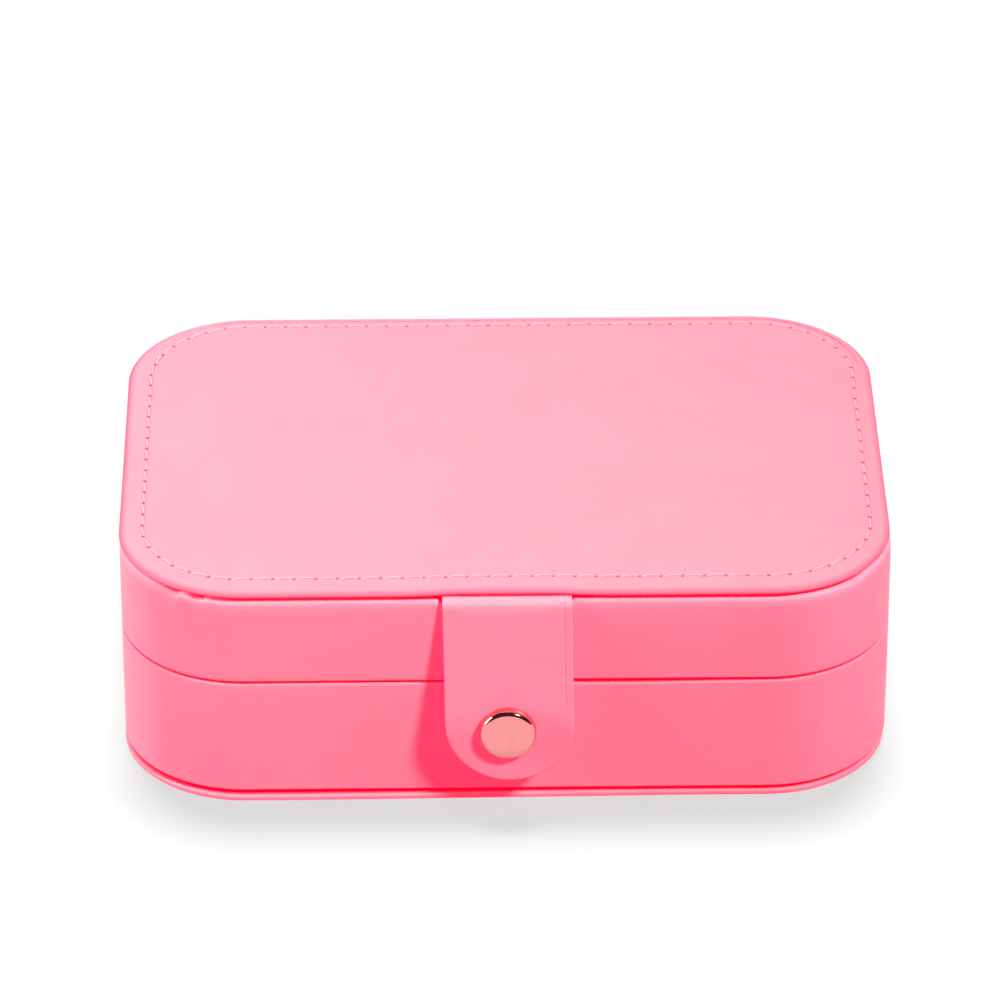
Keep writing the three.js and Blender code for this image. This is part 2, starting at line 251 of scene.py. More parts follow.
def capped_sweep(points, grid, heights_of=(None, None)):
    """A closed body from an open profile swept round an outline: its first and last rings are filled in."""
    stations, across = points.shape[:2]
    vertices = [points.reshape(-1, 3)]
    faces = ring_faces(stations, across, False)
    total = stations * across
    for column, height in zip((0, across - 1), heights_of):
        ring = points[:, column]
        level = height or (lambda x, y, z=ring[0, 2]: np.full(len(x), z))
        inner, triangles = filled(ring, grid, level)
        index = [i * across + column for i in range(stations)] + list(range(total, total + len(inner)))
        faces += [tuple(index[k] for k in t) for t in triangles]
        vertices.append(inner)
        total += len(inner)
    return np.concatenate(vertices), faces


def arc(centre, radii, start, end, steps):
    """Points of an elliptic arc, by angles in degrees."""
    angles = np.radians(np.linspace(start, end, steps + 1))
    return [(centre[0] + radii[0] * math.cos(a), centre[1] + radii[1] * math.sin(a)) for a in angles]


def line(start, end, step):
    """Points between two ends, without the ends."""
    count = max(1, round(math.dist(start, end) / step))
    return [tuple(np.array(start) + (np.array(end) - np.array(start)) * k / count) for k in range(1, count)]


def rounded_box(low, high, edge, step, bulge=(0, 0, 0)):
    """A box with rounded edges whose faces crown outwards by `bulge` along each axis."""
    low, high = np.array(low, float), np.array(high, float)
    half, middle = (high - low) / 2, (high + low) / 2
    edge = min(edge, *half * 0.999)
    ticks = []
    for h in half:
        inner = np.linspace(-(h - edge), h - edge, max(2, round(2 * (h - edge) / step) + 1))
        rim = h - edge + edge * np.tan(np.linspace(0, math.pi / 4, 5)[1:])
        ticks.append(np.concatenate([-rim[::-1], inner, rim]))
    index, vertices, faces = {}, [], []

    def vertex(p):
        key = tuple(np.round(p, 9))
        if key not in index:
            index[key] = len(vertices)
            core = np.clip(p, -(half - edge), half - edge)
            away = p - core
            distance = np.linalg.norm(away)
            q = core + away / distance * edge if distance > 0 else p
            share = 1 - (q / half) ** 2
            for axis, rise in enumerate(bulge):
                others = np.prod([share[k] for k in range(3) if k != axis])
                q[axis] += np.sign(q[axis]) * rise * max(others, 0) * (abs(q[axis]) > half[axis] * 0.5)
            vertices.append(middle + q)
        return index[key]

    for axis in range(3):
        u, v = [k for k in range(3) if k != axis]
        for side in (-1, 1):
            for a, b in zip(ticks[u], ticks[u][1:]):
                for c, d in zip(ticks[v], ticks[v][1:]):
                    quad = []
                    for s, t in ((a, c), (b, c), (b, d), (a, d)):
                        p = np.zeros(3)
                        p[axis], p[u], p[v] = side * half[axis], s, t
                        quad.append(vertex(p))
                    faces.append(tuple(quad))
    return np.array(vertices), faces


def lathed(profile, centre, steps=96):
    """A turned body on an axis along Y through (x, z) = centre. The profile lists (radius, y); a point on the
    axis closes an end, and a profile that never meets the axis closes on itself."""
    vertices, rings = [], []
    for radius, y in profile:
        if radius < 1e-9:
            rings.append([len(vertices)])
            vertices.append((centre[0], y, centre[1]))
            continue
        rings.append(list(range(len(vertices), len(vertices) + steps)))
        for k in range(steps):
            a = 2 * math.pi * k / steps
            vertices.append((centre[0] + radius * math.cos(a), y, centre[1] + radius * math.sin(a)))
    if len(rings[0]) > 1:
        rings.append(rings[0])
    faces = []
    for one, two in zip(rings, rings[1:]):
        for k in range(steps):
            n = (k + 1) % steps
            if len(one) == 1:
                faces.append((one[0], two[k], two[n]))
            elif len(two) == 1:
                faces.append((one[k], one[n], two[0]))
            else:
                faces.append((one[k], one[n], two[n], two[k]))
    return np.array(vertices), faces


def tube(path, radius, around=14):
    """A round bar along a path of points, with domed ends. `radius` is one number or one for each point."""
    path = np.array(path, float)
    radii = np.broadcast_to(np.asarray(radius, float), len(path)).copy()
    tangent = np.gradient(path, axis=0)
    tangent /= np.linalg.norm(tangent, axis=1)[:, None]
    dome = np.radians([78, 60, 40, 20])
    before = [path[0] - tangent[0] * radii[0] * math.sin(a) for a in dome]
    after = [path[-1] + tangent[-1] * radii[-1] * math.sin(a) for a in dome[::-1]]
    lateral = [radii[0] * math.cos(a) for a in dome]
    rings = np.concatenate([before, path, after])
    sizes = np.concatenate([lateral, radii, lateral[::-1]])
    along = np.concatenate([[tangent[0]] * 4, tangent, [tangent[-1]] * 4])
    side = np.cross(along[0], (1, 0, 0) if abs(along[0][0]) < 0.9 else (0, 1, 0))
    vertices = []
    for point, size, t in zip(rings, sizes, along):
        side = side - t * side.dot(t)
        side /= np.linalg.norm(side)
        up = np.cross(t, side)
        for k in range(around):
            a = 2 * math.pi * k / around
            vertices.append(point + size * (math.cos(a) * side + math.sin(a) * up))
    return np.array(vertices), tube_faces(len(rings), around)


def tube_faces(rings, around):
    """Quads between rings of points, with the first and last ring closed by one face each."""
    faces = []
    for start in range(0, (rings - 1) * around, around):
        for j in range(around):
            k = (j + 1) % around
            faces.append((start + j, start + k, start + around + k, start + around + j))
    total = rings * around
    return faces + [tuple(range(around))[::-1], tuple(range(total - around, total))]


def joined(*parts):
    """Several (vertices, faces) as one."""
    vertices, faces, start = [], [], 0
    for v, f in parts:
        vertices.append(v)
        faces += [tuple(start + k for k in face) for face in f]
        start += len(v)
    return np.concatenate(vertices), faces


# ---------------------------------------------------------------- materials


def shade(tint, share):
    """A darker or lighter tint."""
    return tuple(min(1, c * share) for c in tint)


def rgba(colour):
    """A colour with full opacity. A socket stays as it is."""
    return (*colour, 1) if isinstance(colour, tuple) else colour


def add_node(tree, kind, output, inputs, **settings):
    """A new shader node whose inputs get values or are linked to sockets. Returns one of its outputs."""
    node = tree.nodes.new("ShaderNode" + kind)
    for setting, value in settings.items():
        setattr(node, setting, value)
    for name, value in inputs.items():
        if isinstance(value, bpy.types.NodeSocket):
            tree.links.new(value, node.inputs[name])
        else:
            node.inputs[name].default_value = value
    return node.outputs[output]


def mix_colours(tree, factor, one, two):
    """Colour mix. `one` and `two` are colours or sockets."""
    inputs = {"Factor": factor, "A": rgba(one), "B": rgba(two)}
    return add_node(tree, "Mix", "Result", inputs, data_type="RGBA")


class Finish:
    """A Principled material under construction, with helpers for its procedural inputs."""

    def __init__(self, name, **sockets):
        self.material = bpy.data.materials.new(name)
        self.material.use_nodes = True
        self.tree = self.material.node_tree
        self.shader = self.tree.nodes["Principled BSDF"].inputs
        self.coordinates = self.node("TexCoord", "Object", {})
        for socket, value in sockets.items():
            self.shader[socket.replace("_", " ")].default_value = value

    def node(self, kind, output, inputs, **settings):
        return add_node(self.tree, kind, output, inputs, **settings)

    def noise(self, size, detail=3.0, stretch=None):
        """Noise with features about `size` metres across."""
        places = self.coordinates
        if stretch:
            places = self.node("Mapping", "Vector", {"Vector": places, "Scale": stretch})
        return self.node("TexNoise", "Fac", {"Vector": places, "Scale": 1 / size, "Detail": detail})

    def cells(self, size):
        places = {"Vector": self.coordinates, "Scale": 1 / size}
        return self.node("TexVoronoi", "Distance", places, feature="SMOOTH_F1")

    def attribute(self, name):
        return self.node("Attribute", "Fac", {}, attribute_name=name)

    def pointiness(self):
        return self.node("NewGeometry", "Pointiness", {})

    def scaled(self, source, low, high, to_low=0.0, to_high=1.0):
        ends = {"From Min": low, "From Max": high, "To Min": to_low, "To Max": to_high}
        return self.node("MapRange", "Result", {"Value": source, **ends})

    def mix(self, factor, one, two):
        return mix_colours(self.tree, factor, one, two)

    def colour(self, source):
        self.tree.links.new(source, self.shader["Base Color"])

    def roughness(self, source):
        self.tree.links.new(source, self.shader["Roughness"])

    def bump(self, source, depth, strength=1.0):
        """Adds a bump of `depth` metres over what is already there."""
        normal = self.shader["Normal"]
        below = {"Normal": normal.links[0].from_socket} if normal.links else {}
        inputs = {"Height": source, "Distance": depth, "Strength": strength, **below}
        self.tree.links.new(self.node("Bump", "Normal", inputs), normal)


def leather(name, tint, grain=0.045 * MM):
    """Soft coated leather: fine pebble grain, faint mottling and paler rubbed edges, with a painted
    highlight, painted shade in gaps and darker painted shade in needle holes, each from a vertex attribute.
    """
    # Tints for the painted highlight (stretch), the painted shade in gaps (depth) and the darker painted
    # shade in needle holes (hole).
    highlight_tint, gap_shade_tint, hole_shade_tint = (0.95, 0.46, 0.50), (0.90, 0.004, 0.09), (0.20, 0.035, 0.15)
    pebble = 0.62 * MM
    finish = Finish(name, Specular_IOR_Level=0.35)
    patches = finish.scaled(finish.noise(18 * MM, 4), 0.35, 0.65)
    mottled = finish.mix(patches, shade(tint, 0.975), shade(tint, 1.025))
    pores = finish.scaled(finish.cells(pebble), 0.25, 0.6)
    grained = finish.mix(finish.scaled(pores, 0, 1, 0, 0.10), mottled, shade(tint, 0.8))
    worn = finish.scaled(finish.pointiness(), 0.52, 0.6, 0, 0.35)
    rubbed = finish.mix(worn, grained, tuple(min(1, c + 0.06) for c in tint))
    painted_highlight = finish.mix(finish.attribute("stretch"), rubbed, highlight_tint)
    with_gap_shade = finish.mix(finish.attribute("depth"), painted_highlight, gap_shade_tint)
    finish.colour(finish.mix(finish.attribute("hole"), with_gap_shade, hole_shade_tint))
    finish.roughness(finish.scaled(finish.noise(5 * MM, 3), 0.3, 0.7, 0.46, 0.60))
    finish.bump(finish.cells(pebble), grain)
    finish.bump(finish.noise(0.25 * MM, 2), grain * 0.5)
    finish.bump(finish.noise(6 * MM, 2), 0.10 * MM, 0.6)
    return finish.material


def velvet(name, tint):
    """Short pile: matt with a bright sheen at grazing angles, and patches where the nap lies another way."""
    sheen = {"Sheen_Weight": 0.55, "Sheen_Roughness": 0.35, "Sheen_Tint": rgba(shade(tint, 1.25))}
    finish = Finish(name, Specular_IOR_Level=0.15, **sheen)
    patches = finish.scaled(finish.noise(9 * MM, 5, (1, 1, 1.6)), 0.36, 0.64)
    nap = finish.mix(patches, shade(tint, 0.91), tint)
    fuzz = finish.scaled(finish.noise(0.28 * MM, 2), 0.3, 0.7, 0, 0.35)
    finish.colour(finish.mix(fuzz, nap, shade(tint, 1.2)))
    finish.roughness(finish.scaled(finish.noise(3 * MM), 0.3, 0.7, 0.85, 0.98))
    finish.bump(finish.noise(0.28 * MM, 3), 0.10 * MM)
    return finish.material


def metal(name, tint, polish):
    """Polished plate with hairline scratches and slightly duller patches."""
    finish = Finish(name, Metallic=1.0)
    finish.colour(finish.mix(finish.scaled(finish.noise(2 * MM, 4), 0.3, 0.7), tint, shade(tint, 0.93)))
    finish.roughness(finish.scaled(finish.noise(1.2 * MM, 5), 0.3, 0.7, polish * 0.8, polish * 1.5))
    finish.bump(finish.noise(0.15 * MM, 2, (1, 0.1, 0.15)), 0.002 * MM)
    return finish.material


def thread(name, tint):
    """Twisted sewing thread with fine fibres."""
    finish = Finish(name, Sheen_Weight=0.3, Specular_IOR_Level=0.45)
    fibres = finish.scaled(finish.noise(0.12 * MM, 3), 0.3, 0.7)
    finish.colour(finish.mix(fibres, shade(tint, 0.86), tint))
    finish.roughness(finish.scaled(fibres, 0, 1, 0.5, 0.7))
    finish.bump(fibres, 0.02 * MM)
    return finish.material


def ribbed_elastic(name, tint):
    """Woven elastic with ribs across it."""
    finish = Finish(name, Sheen_Weight=0.2)
    ripple = {"Vector": finish.coordinates, "Scale": 0.35 / MM, "Distortion": 0.6}
    ribs = finish.node("TexWave", "Fac", ripple, bands_direction="X")
    finish.colour(finish.mix(ribs, shade(tint, 0.8), tint))
    finish.roughness(finish.scaled(ribs, 0, 1, 0.7, 0.85))
    finish.bump(ribs, 0.12 * MM)
    return finish.material


def pressed_board(name, tint):
    """Grey-brown card with flecks and a fibrous edge."""
    finish = Finish(name, Specular_IOR_Level=0.2)
    layers = finish.scaled(finish.noise(0.9 * MM, 6, (1, 1, 5)), 0.3, 0.7)
    finish.colour(finish.mix(layers, shade(tint, 0.75), tint))
    finish.roughness(finish.scaled(layers, 0, 1, 0.85, 0.95))
    finish.bump(layers, 0.06 * MM)
    return finish.material


def open_foam(name, tint):
    """Fine open-cell foam."""
    finish = Finish(name, Specular_IOR_Level=0.1)
    cell = finish.scaled(finish.cells(0.7 * MM), 0.1, 0.6)
    finish.colour(finish.mix(cell, tint, shade(tint, 0.82)))
    finish.roughness(finish.scaled(cell, 0, 1, 0.9, 1.0))
    finish.bump(cell, -0.2 * MM)
    return finish.material


def silvered_glass(name):
    """Mirror with the faintest smears on it."""
    finish = Finish(name, Metallic=1.0, Roughness=0.0)
    smears = finish.scaled(finish.noise(12 * MM, 5, (1, 0.35, 1)), 0.45, 0.75)
    finish.colour(finish.mix(smears, (0.93, 0.95, 0.95), (0.88, 0.90, 0.91)))
    return finish.material


LEATHER_TINT = (0.95, 0.295, 0.335)
LEATHER = leather("pink_leather", LEATHER_TINT)
# A slightly darker copy of the pink leather: painted shade that tones down the strap, which leans towards the
# key light.
STRAP_LEATHER = leather("strap_leather", (0.95, 0.281, 0.325), 0.035 * MM)
VELVET = velvet("rose_velvet", (0.80, 0.40, 0.47))
ROLL_VELVET = velvet("pale_rose_velvet", (0.86, 0.50, 0.56))
NICKEL = metal("polished_nickel", (0.95, 0.32, 0.32), 0.08)
THREAD = thread("lilac_thread", (0.95, 0.46, 0.60))
ELASTIC = ribbed_elastic("pink_elastic", (0.82, 0.38, 0.46))
BOARD = pressed_board("pressed_board", (0.42, 0.36, 0.30))
FOAM = open_foam("foam", (0.88, 0.86, 0.80))
MIRROR = silvered_glass("mirror")

CARRIED = {
    "bottom_board": BOARD,
    "base_wall_core": BOARD,
    "lid_wall_core": BOARD,
    "top_board": BOARD,
    "mirror_backing": BOARD,
    "top_pad": FOAM,
    "ring_bed": FOAM,
    "snap_stud_washer": NICKEL,
}
for node, finish in CARRIED.items():
    frame["nodes"][node].material_slots[0].material = finish


# ---------------------------------------------------------------- plates


def seam_positions():
    """Arc lengths round the seam: close together at each needle hole, further apart between holes."""
    pitch = SEAM.length() / STITCHES
    near = np.array([0.1, 0.2, 0.32, 0.5, 0.8, 1.3]) * MM
    local = np.concatenate([-near[::-1], [0], near])
    return (FIRST_HOLE + np.arange(STITCHES)[:, None] * pitch + local).ravel(), pitch


def strap_lift(x, y):
    """The strap's root lifts the top plate's front edge a little."""
    across = 1 / (1 + (x / (14.5 * MM)) ** 6)
    return 0.50 * MM * across * bell(y, -HALF_Y, 7 * MM)


def top_surface(x, y):
    """Height of the padded top: nearly flat, with faint waves from the foam."""
    crown = 0.10 * MM * (1 - (x / HALF_X) ** 2) * (1 - (y / HALF_Y) ** 2)
    return TOP_HIGH + crown + 0.03 * MM * sheet_noise(x, y, 16 * MM, 1.7) + strap_lift(x, y)


def top_wrap():
    """The top leather's section from under the pad, round the plate's edge and on to the top, as (inset, z),
    with how much painted shade darkens each point's colour where the edge faces down or outwards."""
    under_pad, pinched, fold = TOP_HIGH - 0.4 * MM, TOP_LOW + 0.04 * MM, TOP_HIGH - 0.80 * MM
    hidden = [(8 * MM, under_pad), (1.0 * MM, under_pad), (1.0 * MM, pinched)]
    hidden += [(3 * MM, pinched), (3 * MM, TOP_LOW), (1.5 * MM, TOP_LOW)]
    lower = arc((0.70 * MM, fold), (0.70 * MM, fold - TOP_LOW), 270, 180, 8)
    upper = arc((1.9 * MM, fold), (1.9 * MM, TOP_HIGH - fold), 170, 90, 10) + [(2.15 * MM, TOP_HIGH)]
    # Painted shade: full on the hidden leather, easing over the lower arc and fading out over the upper arc.
    fading = np.append(0.54 * smooth_step(np.linspace(1.15, -0.1, len(upper) - 1)), 0)
    darker = np.concatenate([np.ones(len(hidden)), np.linspace(1, 0.55, len(lower)), fading])
    return np.array(hidden + lower + upper), darker


def smooth_step(share):
    share = np.clip(share, 0, 1)
    return share * share * (3 - 2 * share)


def top_cover():
    """The top leather wraps the plate's round edge. It is sunk along the seam, with a pit at each hole."""
    positions, pitch = seam_positions()
    marks = SEAM.marks(positions)
    wrap, darker = top_wrap()
    centres, normals = CASE.at_marks(marks)
    wrap_xy = centres[:, None] + normals[:, None] * (CORNER - wrap[:, 0])[None, :, None]
    wrap_z = np.broadcast_to(wrap[:, 1], wrap_xy.shape[:2])

    near_seam = np.array([0.08, 0.16, 0.25, 0.35, 0.5, 0.8, 1.2, 1.9]) * MM
    from_seam = np.concatenate([-near_seam[::-1], [0], near_seam])[None, :]
    centres, normals = SEAM.at_marks(marks)
    seam_xy = centres[:, None] + normals[:, None] * (SEAM.radius - from_seam)[..., None]
    from_hole = ((positions - FIRST_HOLE + pitch / 2) % pitch - pitch / 2)[:, None]
    groove = (0.10 + 0.08 * bell(from_hole, 0, 0.7 * MM)) * bell(from_seam, 0, 0.45 * MM)
    pit = bell(from_hole, 0, 0.40 * MM) * bell(from_seam, 0, 0.33 * MM)
    seam_z = TOP_HIGH - (groove + 0.55 * pit) * MM

    x, y = np.concatenate([wrap_xy, seam_xy], axis=1).reshape(-1, 2).T
    z = np.concatenate([wrap_z, seam_z], axis=1)
    grid_shape, z = z.shape, z.ravel()
    follows_top = ramp(z, TOP_HIGH - 0.35 * MM, TOP_HIGH - 0.05 * MM)
    lift = strap_lift(x, y)
    on_top = (top_surface(x, y) - TOP_HIGH) * follows_top + lift * (1 - follows_top)
    raised = z + np.where(z > TOP_HIGH - 0.7 * MM, on_top, lift)
    points = np.column_stack([x, y, raised]).reshape(*grid_shape, 3)
    vertices, faces = capped_sweep(points, 3.2 * MM, (None, top_surface))
    inner = np.zeros(len(vertices) - z.size)
    # Painted shade in colour: the needle holes' pits and the plate's rounded edge are darkened where shade
    # would fall.
    pit_shade = np.concatenate([wrap_z * 0, np.clip(pit * 2.1 - 0.25, 0, 1)], axis=1)
    turned = np.concatenate([wrap_z * 0 + darker, seam_z * 0], axis=1)
    painted_light = {"depth": np.append(turned, inner), "hole": np.append(pit_shade, inner)}
    return piece("top_leather", vertices, faces, LEATHER, "leather", "lid", ["top_cover"], 60, **painted_light)


def top_stitching():
    """One twisted two-ply stitch from each needle hole to the next, lying a little askew."""
    pitch = SEAM.length() / STITCHES
    gap, twist_length, across = 0.09, 1.3 * MM, 12
    share = np.linspace(0, 1, 17)
    from_middle = np.abs(2 * share - 1)
    around = 2 * np.pi * np.arange(across) / across
    twist = share[:, None] * pitch / twist_length * 2 * np.pi
    radius = THREAD_RADIUS * (0.86 + 0.18 * np.cos(2 * (around[None, :] - twist)))
    radius *= (1 - 0.35 * from_middle**6)[:, None]
    rise = (-0.45 + 0.42 * (1 - from_middle**4) + 0.12 * share) * MM
    parts = []
    for k in range(STITCHES):
        jitter = noise.noise(Vector((k * 0.73, 1.3, 0)))
        centres, normals = SEAM.walk(FIRST_HOLE + (k + gap + (1 - 2 * gap) * share) * pitch)
        slant = (0.16 + 0.06 * jitter) * MM * (1 - 2 * share)
        xy = centres + normals * (SEAM.radius + slant)[:, None]
        path = np.column_stack([xy, top_surface(xy[:, 0], xy[:, 1]) + rise])
        tangent = np.gradient(path, axis=0)
        tangent /= np.linalg.norm(tangent, axis=1)[:, None]
        side = np.column_stack([normals, np.zeros(len(share))])
        side -= tangent * (side * tangent).sum(1)[:, None]
        up = np.cross(tangent, side)
        ring = np.cos(around)[:, None] * side[:, None, :] + np.sin(around)[:, None] * up[:, None, :]
        vertices = (path[:, None, :] + radius[..., None] * ring).reshape(-1, 3)
        parts.append((vertices, tube_faces(len(share), across)))
    vertices, faces = joined(*parts)
    return piece("top_stitching", vertices, faces, THREAD, "elastic", "lid")


def bottom_cover():
    """The bottom leather wraps its plate's round edge and is pinched under the base's wall."""
    pinched = BOTTOM_HIGH - 0.04 * MM
    profile = [(8 * MM, 0.4 * MM), (1.0 * MM, 0.4 * MM), (1.0 * MM, pinched), (3 * MM, pinched)]
    profile += [(3 * MM, BOTTOM_HIGH), (1.8 * MM, BOTTOM_HIGH), (1.1 * MM, pinched)]
    profile += arc((0.55 * MM, BOTTOM_HIGH - 0.65 * MM), (0.55 * MM, 0.5 * MM), 90, 180, 6)
    profile += arc((0.35 * MM, 0.35 * MM), (0.35 * MM, 0.35 * MM), 180, 270, 5)
    profile += [(2 * MM, 0), (8 * MM, 0)]
    inset, z = np.array(profile).T
    positions = CASE.spaced(1.1 * MM)
    points = swept(CASE, positions, profile)
    # The plate was glued a little askew: at the front it stands out on the left and back on the right.
    normals = CASE.walk(positions)[1]
    to_left = 0.30 * MM * np.clip(-from_front(positions) / (30 * MM), -1.2, 1.2)
    askew = to_left * np.clip(-normals[:, 1], 0, 1) ** 2
    points[..., :2] += normals[:, None] * (askew[:, None] * ramp(inset, 3 * MM, 0))[..., None]
    vertices, faces = capped_sweep(points, 6 * MM)
    # Painted shade: the plate's top is darkened where the gap under the wall's edge lies.
    gap_shade_mask = (z > BOTTOM_HIGH - 0.2 * MM) * ramp(inset, 0.4 * MM, 0.75 * MM)
    depth = np.zeros(len(vertices))
    depth[: len(positions) * len(profile)] = np.tile(gap_shade_mask, len(positions))
    painted_light = {"depth": depth}
    return piece("bottom_leather", vertices, faces, LEATHER, "leather", "base", ["bottom_cover"], 60, **painted_light)


# ---------------------------------------------------------------- walls and linings


def wall_unevenness(points):
    """Leather pulled over board isn't quite flat: it moves the wall in and out by a few hundredths."""
    return (smooth_noise(points, 15 * MM, 4.1) * 0.04 + smooth_noise(points, 5 * MM, 9.4) * 0.01) * MM


def wall_profile(plate_z, shoulder, rim_z):
    """A wall leather's section from its rim at the parting line to its neck at the plate, as (inset, z), with
    how much painted shade darkens each point in the gaps at the rim and by the plate, and how much a painted
    highlight pales the lid's shoulder below the top plate."""
    up = 1 if plate_z > rim_z else -1
    drop, reach = (1.1 * MM, 1.0 * MM) if up > 0 else (0.45 * MM, 0.4 * MM)
    rim_round, tall, tuck = 0.42 * MM, 3.2 * MM, 0.76 * MM
    by_plate = (180, 90) if up > 0 else (180, 270)
    by_rim = (270, 180) if up > 0 else (90, 180)
    rim = arc((COVER_OUT + rim_round, rim_z + up * rim_round), (rim_round,) * 2, *by_rim, 7)
    lean = 0.14 * MM if up > 0 else 0.0
    edge = arc((COVER_OUT + lean + reach, shoulder - up * drop), (reach, drop), *by_plate, 10)
    eased = []
    for share in (1, 0.8, 0.6, 0.4, 0.2):
        eased.append((COVER_OUT + lean * (1 - share) ** 2, shoulder - up * (drop + tall * share)))
    wall = line(rim[-1], eased[0], 1.6 * MM) + eased
    neck = [(NECK_OUT - 0.2 * MM, shoulder), (NECK_OUT, shoulder + up * 0.15 * MM), (NECK_OUT, plate_z)]
    inner_neck, inner_z, inner_rim = NECK_OUT + 0.06 * MM, shoulder - up * tuck, rim_z + up * tuck
    behind = [(inner_neck, plate_z), (inner_neck, inner_z), (COVER_OUT + SKIN, inner_z)]
    behind += [(COVER_OUT + SKIN, inner_rim), (INSIDE, inner_rim)]
    over = [(INSIDE, rim_z + up * 0.2 * MM), (INSIDE - 0.2 * MM, rim_z), (2.1 * MM, rim_z), (1.3 * MM, rim_z)]
    points = np.array(over + rim + wall + edge + neck + behind)
    inset, z = points.T
    from_face = inset - COVER_OUT
    # Painted shade in the gap at the rim and in the gap under the plate, and a painted highlight on the lid's
    # shoulder.
    band = ramp(from_face, 0.2 * MM, 0.55 * MM) * ramp(inset, 2.1 * MM, 1.3 * MM)
    rim_gap_shade = 0.9 * band * (np.abs(z - rim_z) < 0.5 * MM)
    past_edge = ramp(from_face, reach * 0.75, reach * 0.75 + 0.5 * MM)
    plate_gap_shade = past_edge * (np.abs(z - shoulder) < 0.9 * MM)
    shoulder_highlight = 0.62 * bell(z, shoulder - 0.8 * MM, 0.85 * MM) * (up > 0) * (from_face < 1.3 * MM)
    return points, np.maximum(rim_gap_shade, plate_gap_shade), shoulder_highlight


def wall_cover(name, node, body, plate_z, shoulder, rim_z, rise, rim_rise):
    """`rise` and `rim_rise` give how far the edge by the plate and the rim lie above their nominal heights,
    for distances from the middle of the front."""
    positions = CASE.spaced(0.7 * MM)
    profile, gap_shade_mask, painted_highlight = wall_profile(plate_z, shoulder, rim_z)
    inset, z = profile.T
    toward_plate = ramp(np.abs(z - shoulder), 3 * MM, 0)
    toward_rim = ramp(np.abs(z - rim_z), 3 * MM, 0) * (inset < INSIDE - 0.1 * MM)
    points = swept(CASE, positions, profile)
    s = from_front(positions)[:, None]
    moved = points[..., 2] + rise(s) * toward_plate + rim_rise(s) * toward_rim
    points[..., 2] = np.clip(moved, min(plate_z, rim_z - 1 * MM), max(plate_z, rim_z + 1 * MM))
    normals = CASE.walk(positions)[1]
    flat = points.reshape(-1, 3)
    showing = ramp(inset, COVER_OUT + 1.2 * MM, COVER_OUT)
    out = np.where(normals[:, 0] > 0, 0.5, 0.12) * MM * normals[:, 0] ** 2
    uneven = wall_unevenness(flat).reshape(points.shape[:2])
    if body == "lid":
        uneven = uneven + lid_pucker(s, points[..., 2])
    push = (uneven + out[:, None]) * showing
    flat[:, :2] += (normals[:, None] * push[..., None]).reshape(-1, 2)
    faces = ring_faces(*points.shape[:2], True)
    # Painted shade in the gaps (depth) and a painted highlight on the shoulder (stretch).
    painted_light = {"depth": np.tile(gap_shade_mask, len(positions)), "stretch": np.tile(painted_highlight, len(positions))}
    return piece(name, flat, faces, LEATHER, "leather", body, [node], 60, **painted_light)


def lid_edge_rise(s):
    """The lid's wall leather nearly meets the top plate except along the front, with a pucker at the left
    corner and a dip for the strap's root. The gap is given in millimetres at places along the wall."""
    left = [(-96, 0.04), (-83, 0.10), (-77, 0.2), (-74, 0.4), (-71.5, 0.7), (-69, 1.0), (-67.4, 0.95)]
    pinches = [(-66.4, 0.2), (-65, 0.08), (-64.2, 0.25), (-63.2, 0.85), (-61.6, 0.85), (-60.8, 0.3)]
    front = [(-60.2, 0.3), (-57.5, 0.52), (-54, 0.62), (-14.1, 0.62), (-13.4, 1.3), (13.2, 1.3), (13.7, 0.62)]
    right = [(60, 0.66), (68, 0.85), (75.5, 0.85), (77.2, 0.12), (84, 0.06), (96, 0.03)]
    place, gap = np.array(left + pinches + front + right).T * MM
    return TOP_LOW - LID_HIGH - np.interp(s, place, gap)


def lid_pucker(s, z):
    """The fullness taken up at the left corner stands out below the pinches and falls in beside them."""
    out = 0.26 * bell(s, -65.2 * MM, 1.3 * MM) + 0.14 * bell(s, -60.5 * MM, 1.1 * MM)
    hollow = 0.28 * bell(s, -70.2 * MM, 2.9 * MM) + 0.10 * bell(s, -62.5 * MM, 0.9 * MM)
    return (out - hollow) * bell(z, LID_HIGH, 2.6 * MM) * MM


def lid_rim_rise(s):
    return 0.04 * MM * np.sin(s / (21 * MM))


def base_rim_rise(s):
    """The base's rim sags a little to the right of the strap."""
    return 0.12 * MM - 0.36 * MM * bell(s, 22 * MM, 24 * MM) + 0.02 * MM * np.sin(s / (17 * MM) + 1)


def lining(name, node, body, floor_z, rim_z, under_z):
    """A velvet tray with a soft fillet between its wall and its floor."""
    up = 1 if rim_z > floor_z else -1
    fillet, back = 2.2 * MM, LINING_OUT + 0.1 * MM
    angles = (180, 270) if up > 0 else (180, 90)
    profile = [(14 * MM, under_z), (back, under_z), (back, rim_z)]
    profile += [(INSIDE - 0.1 * MM, rim_z), (INSIDE, rim_z - up * 0.15 * MM)]
    profile += line((INSIDE, rim_z), (INSIDE, floor_z + up * fillet), 2.5 * MM)
    profile += arc((INSIDE + fillet, floor_z + up * fillet), (fillet, fillet), *angles, 6)
    profile += [(10 * MM, floor_z), (14 * MM, floor_z)]
    vertices, faces = capped_sweep(swept(CASE, CASE.spaced(1.6 * MM), profile), 5 * MM)
    return piece(name, vertices, faces, VELVET, "velvet", body, [node], crease=60)


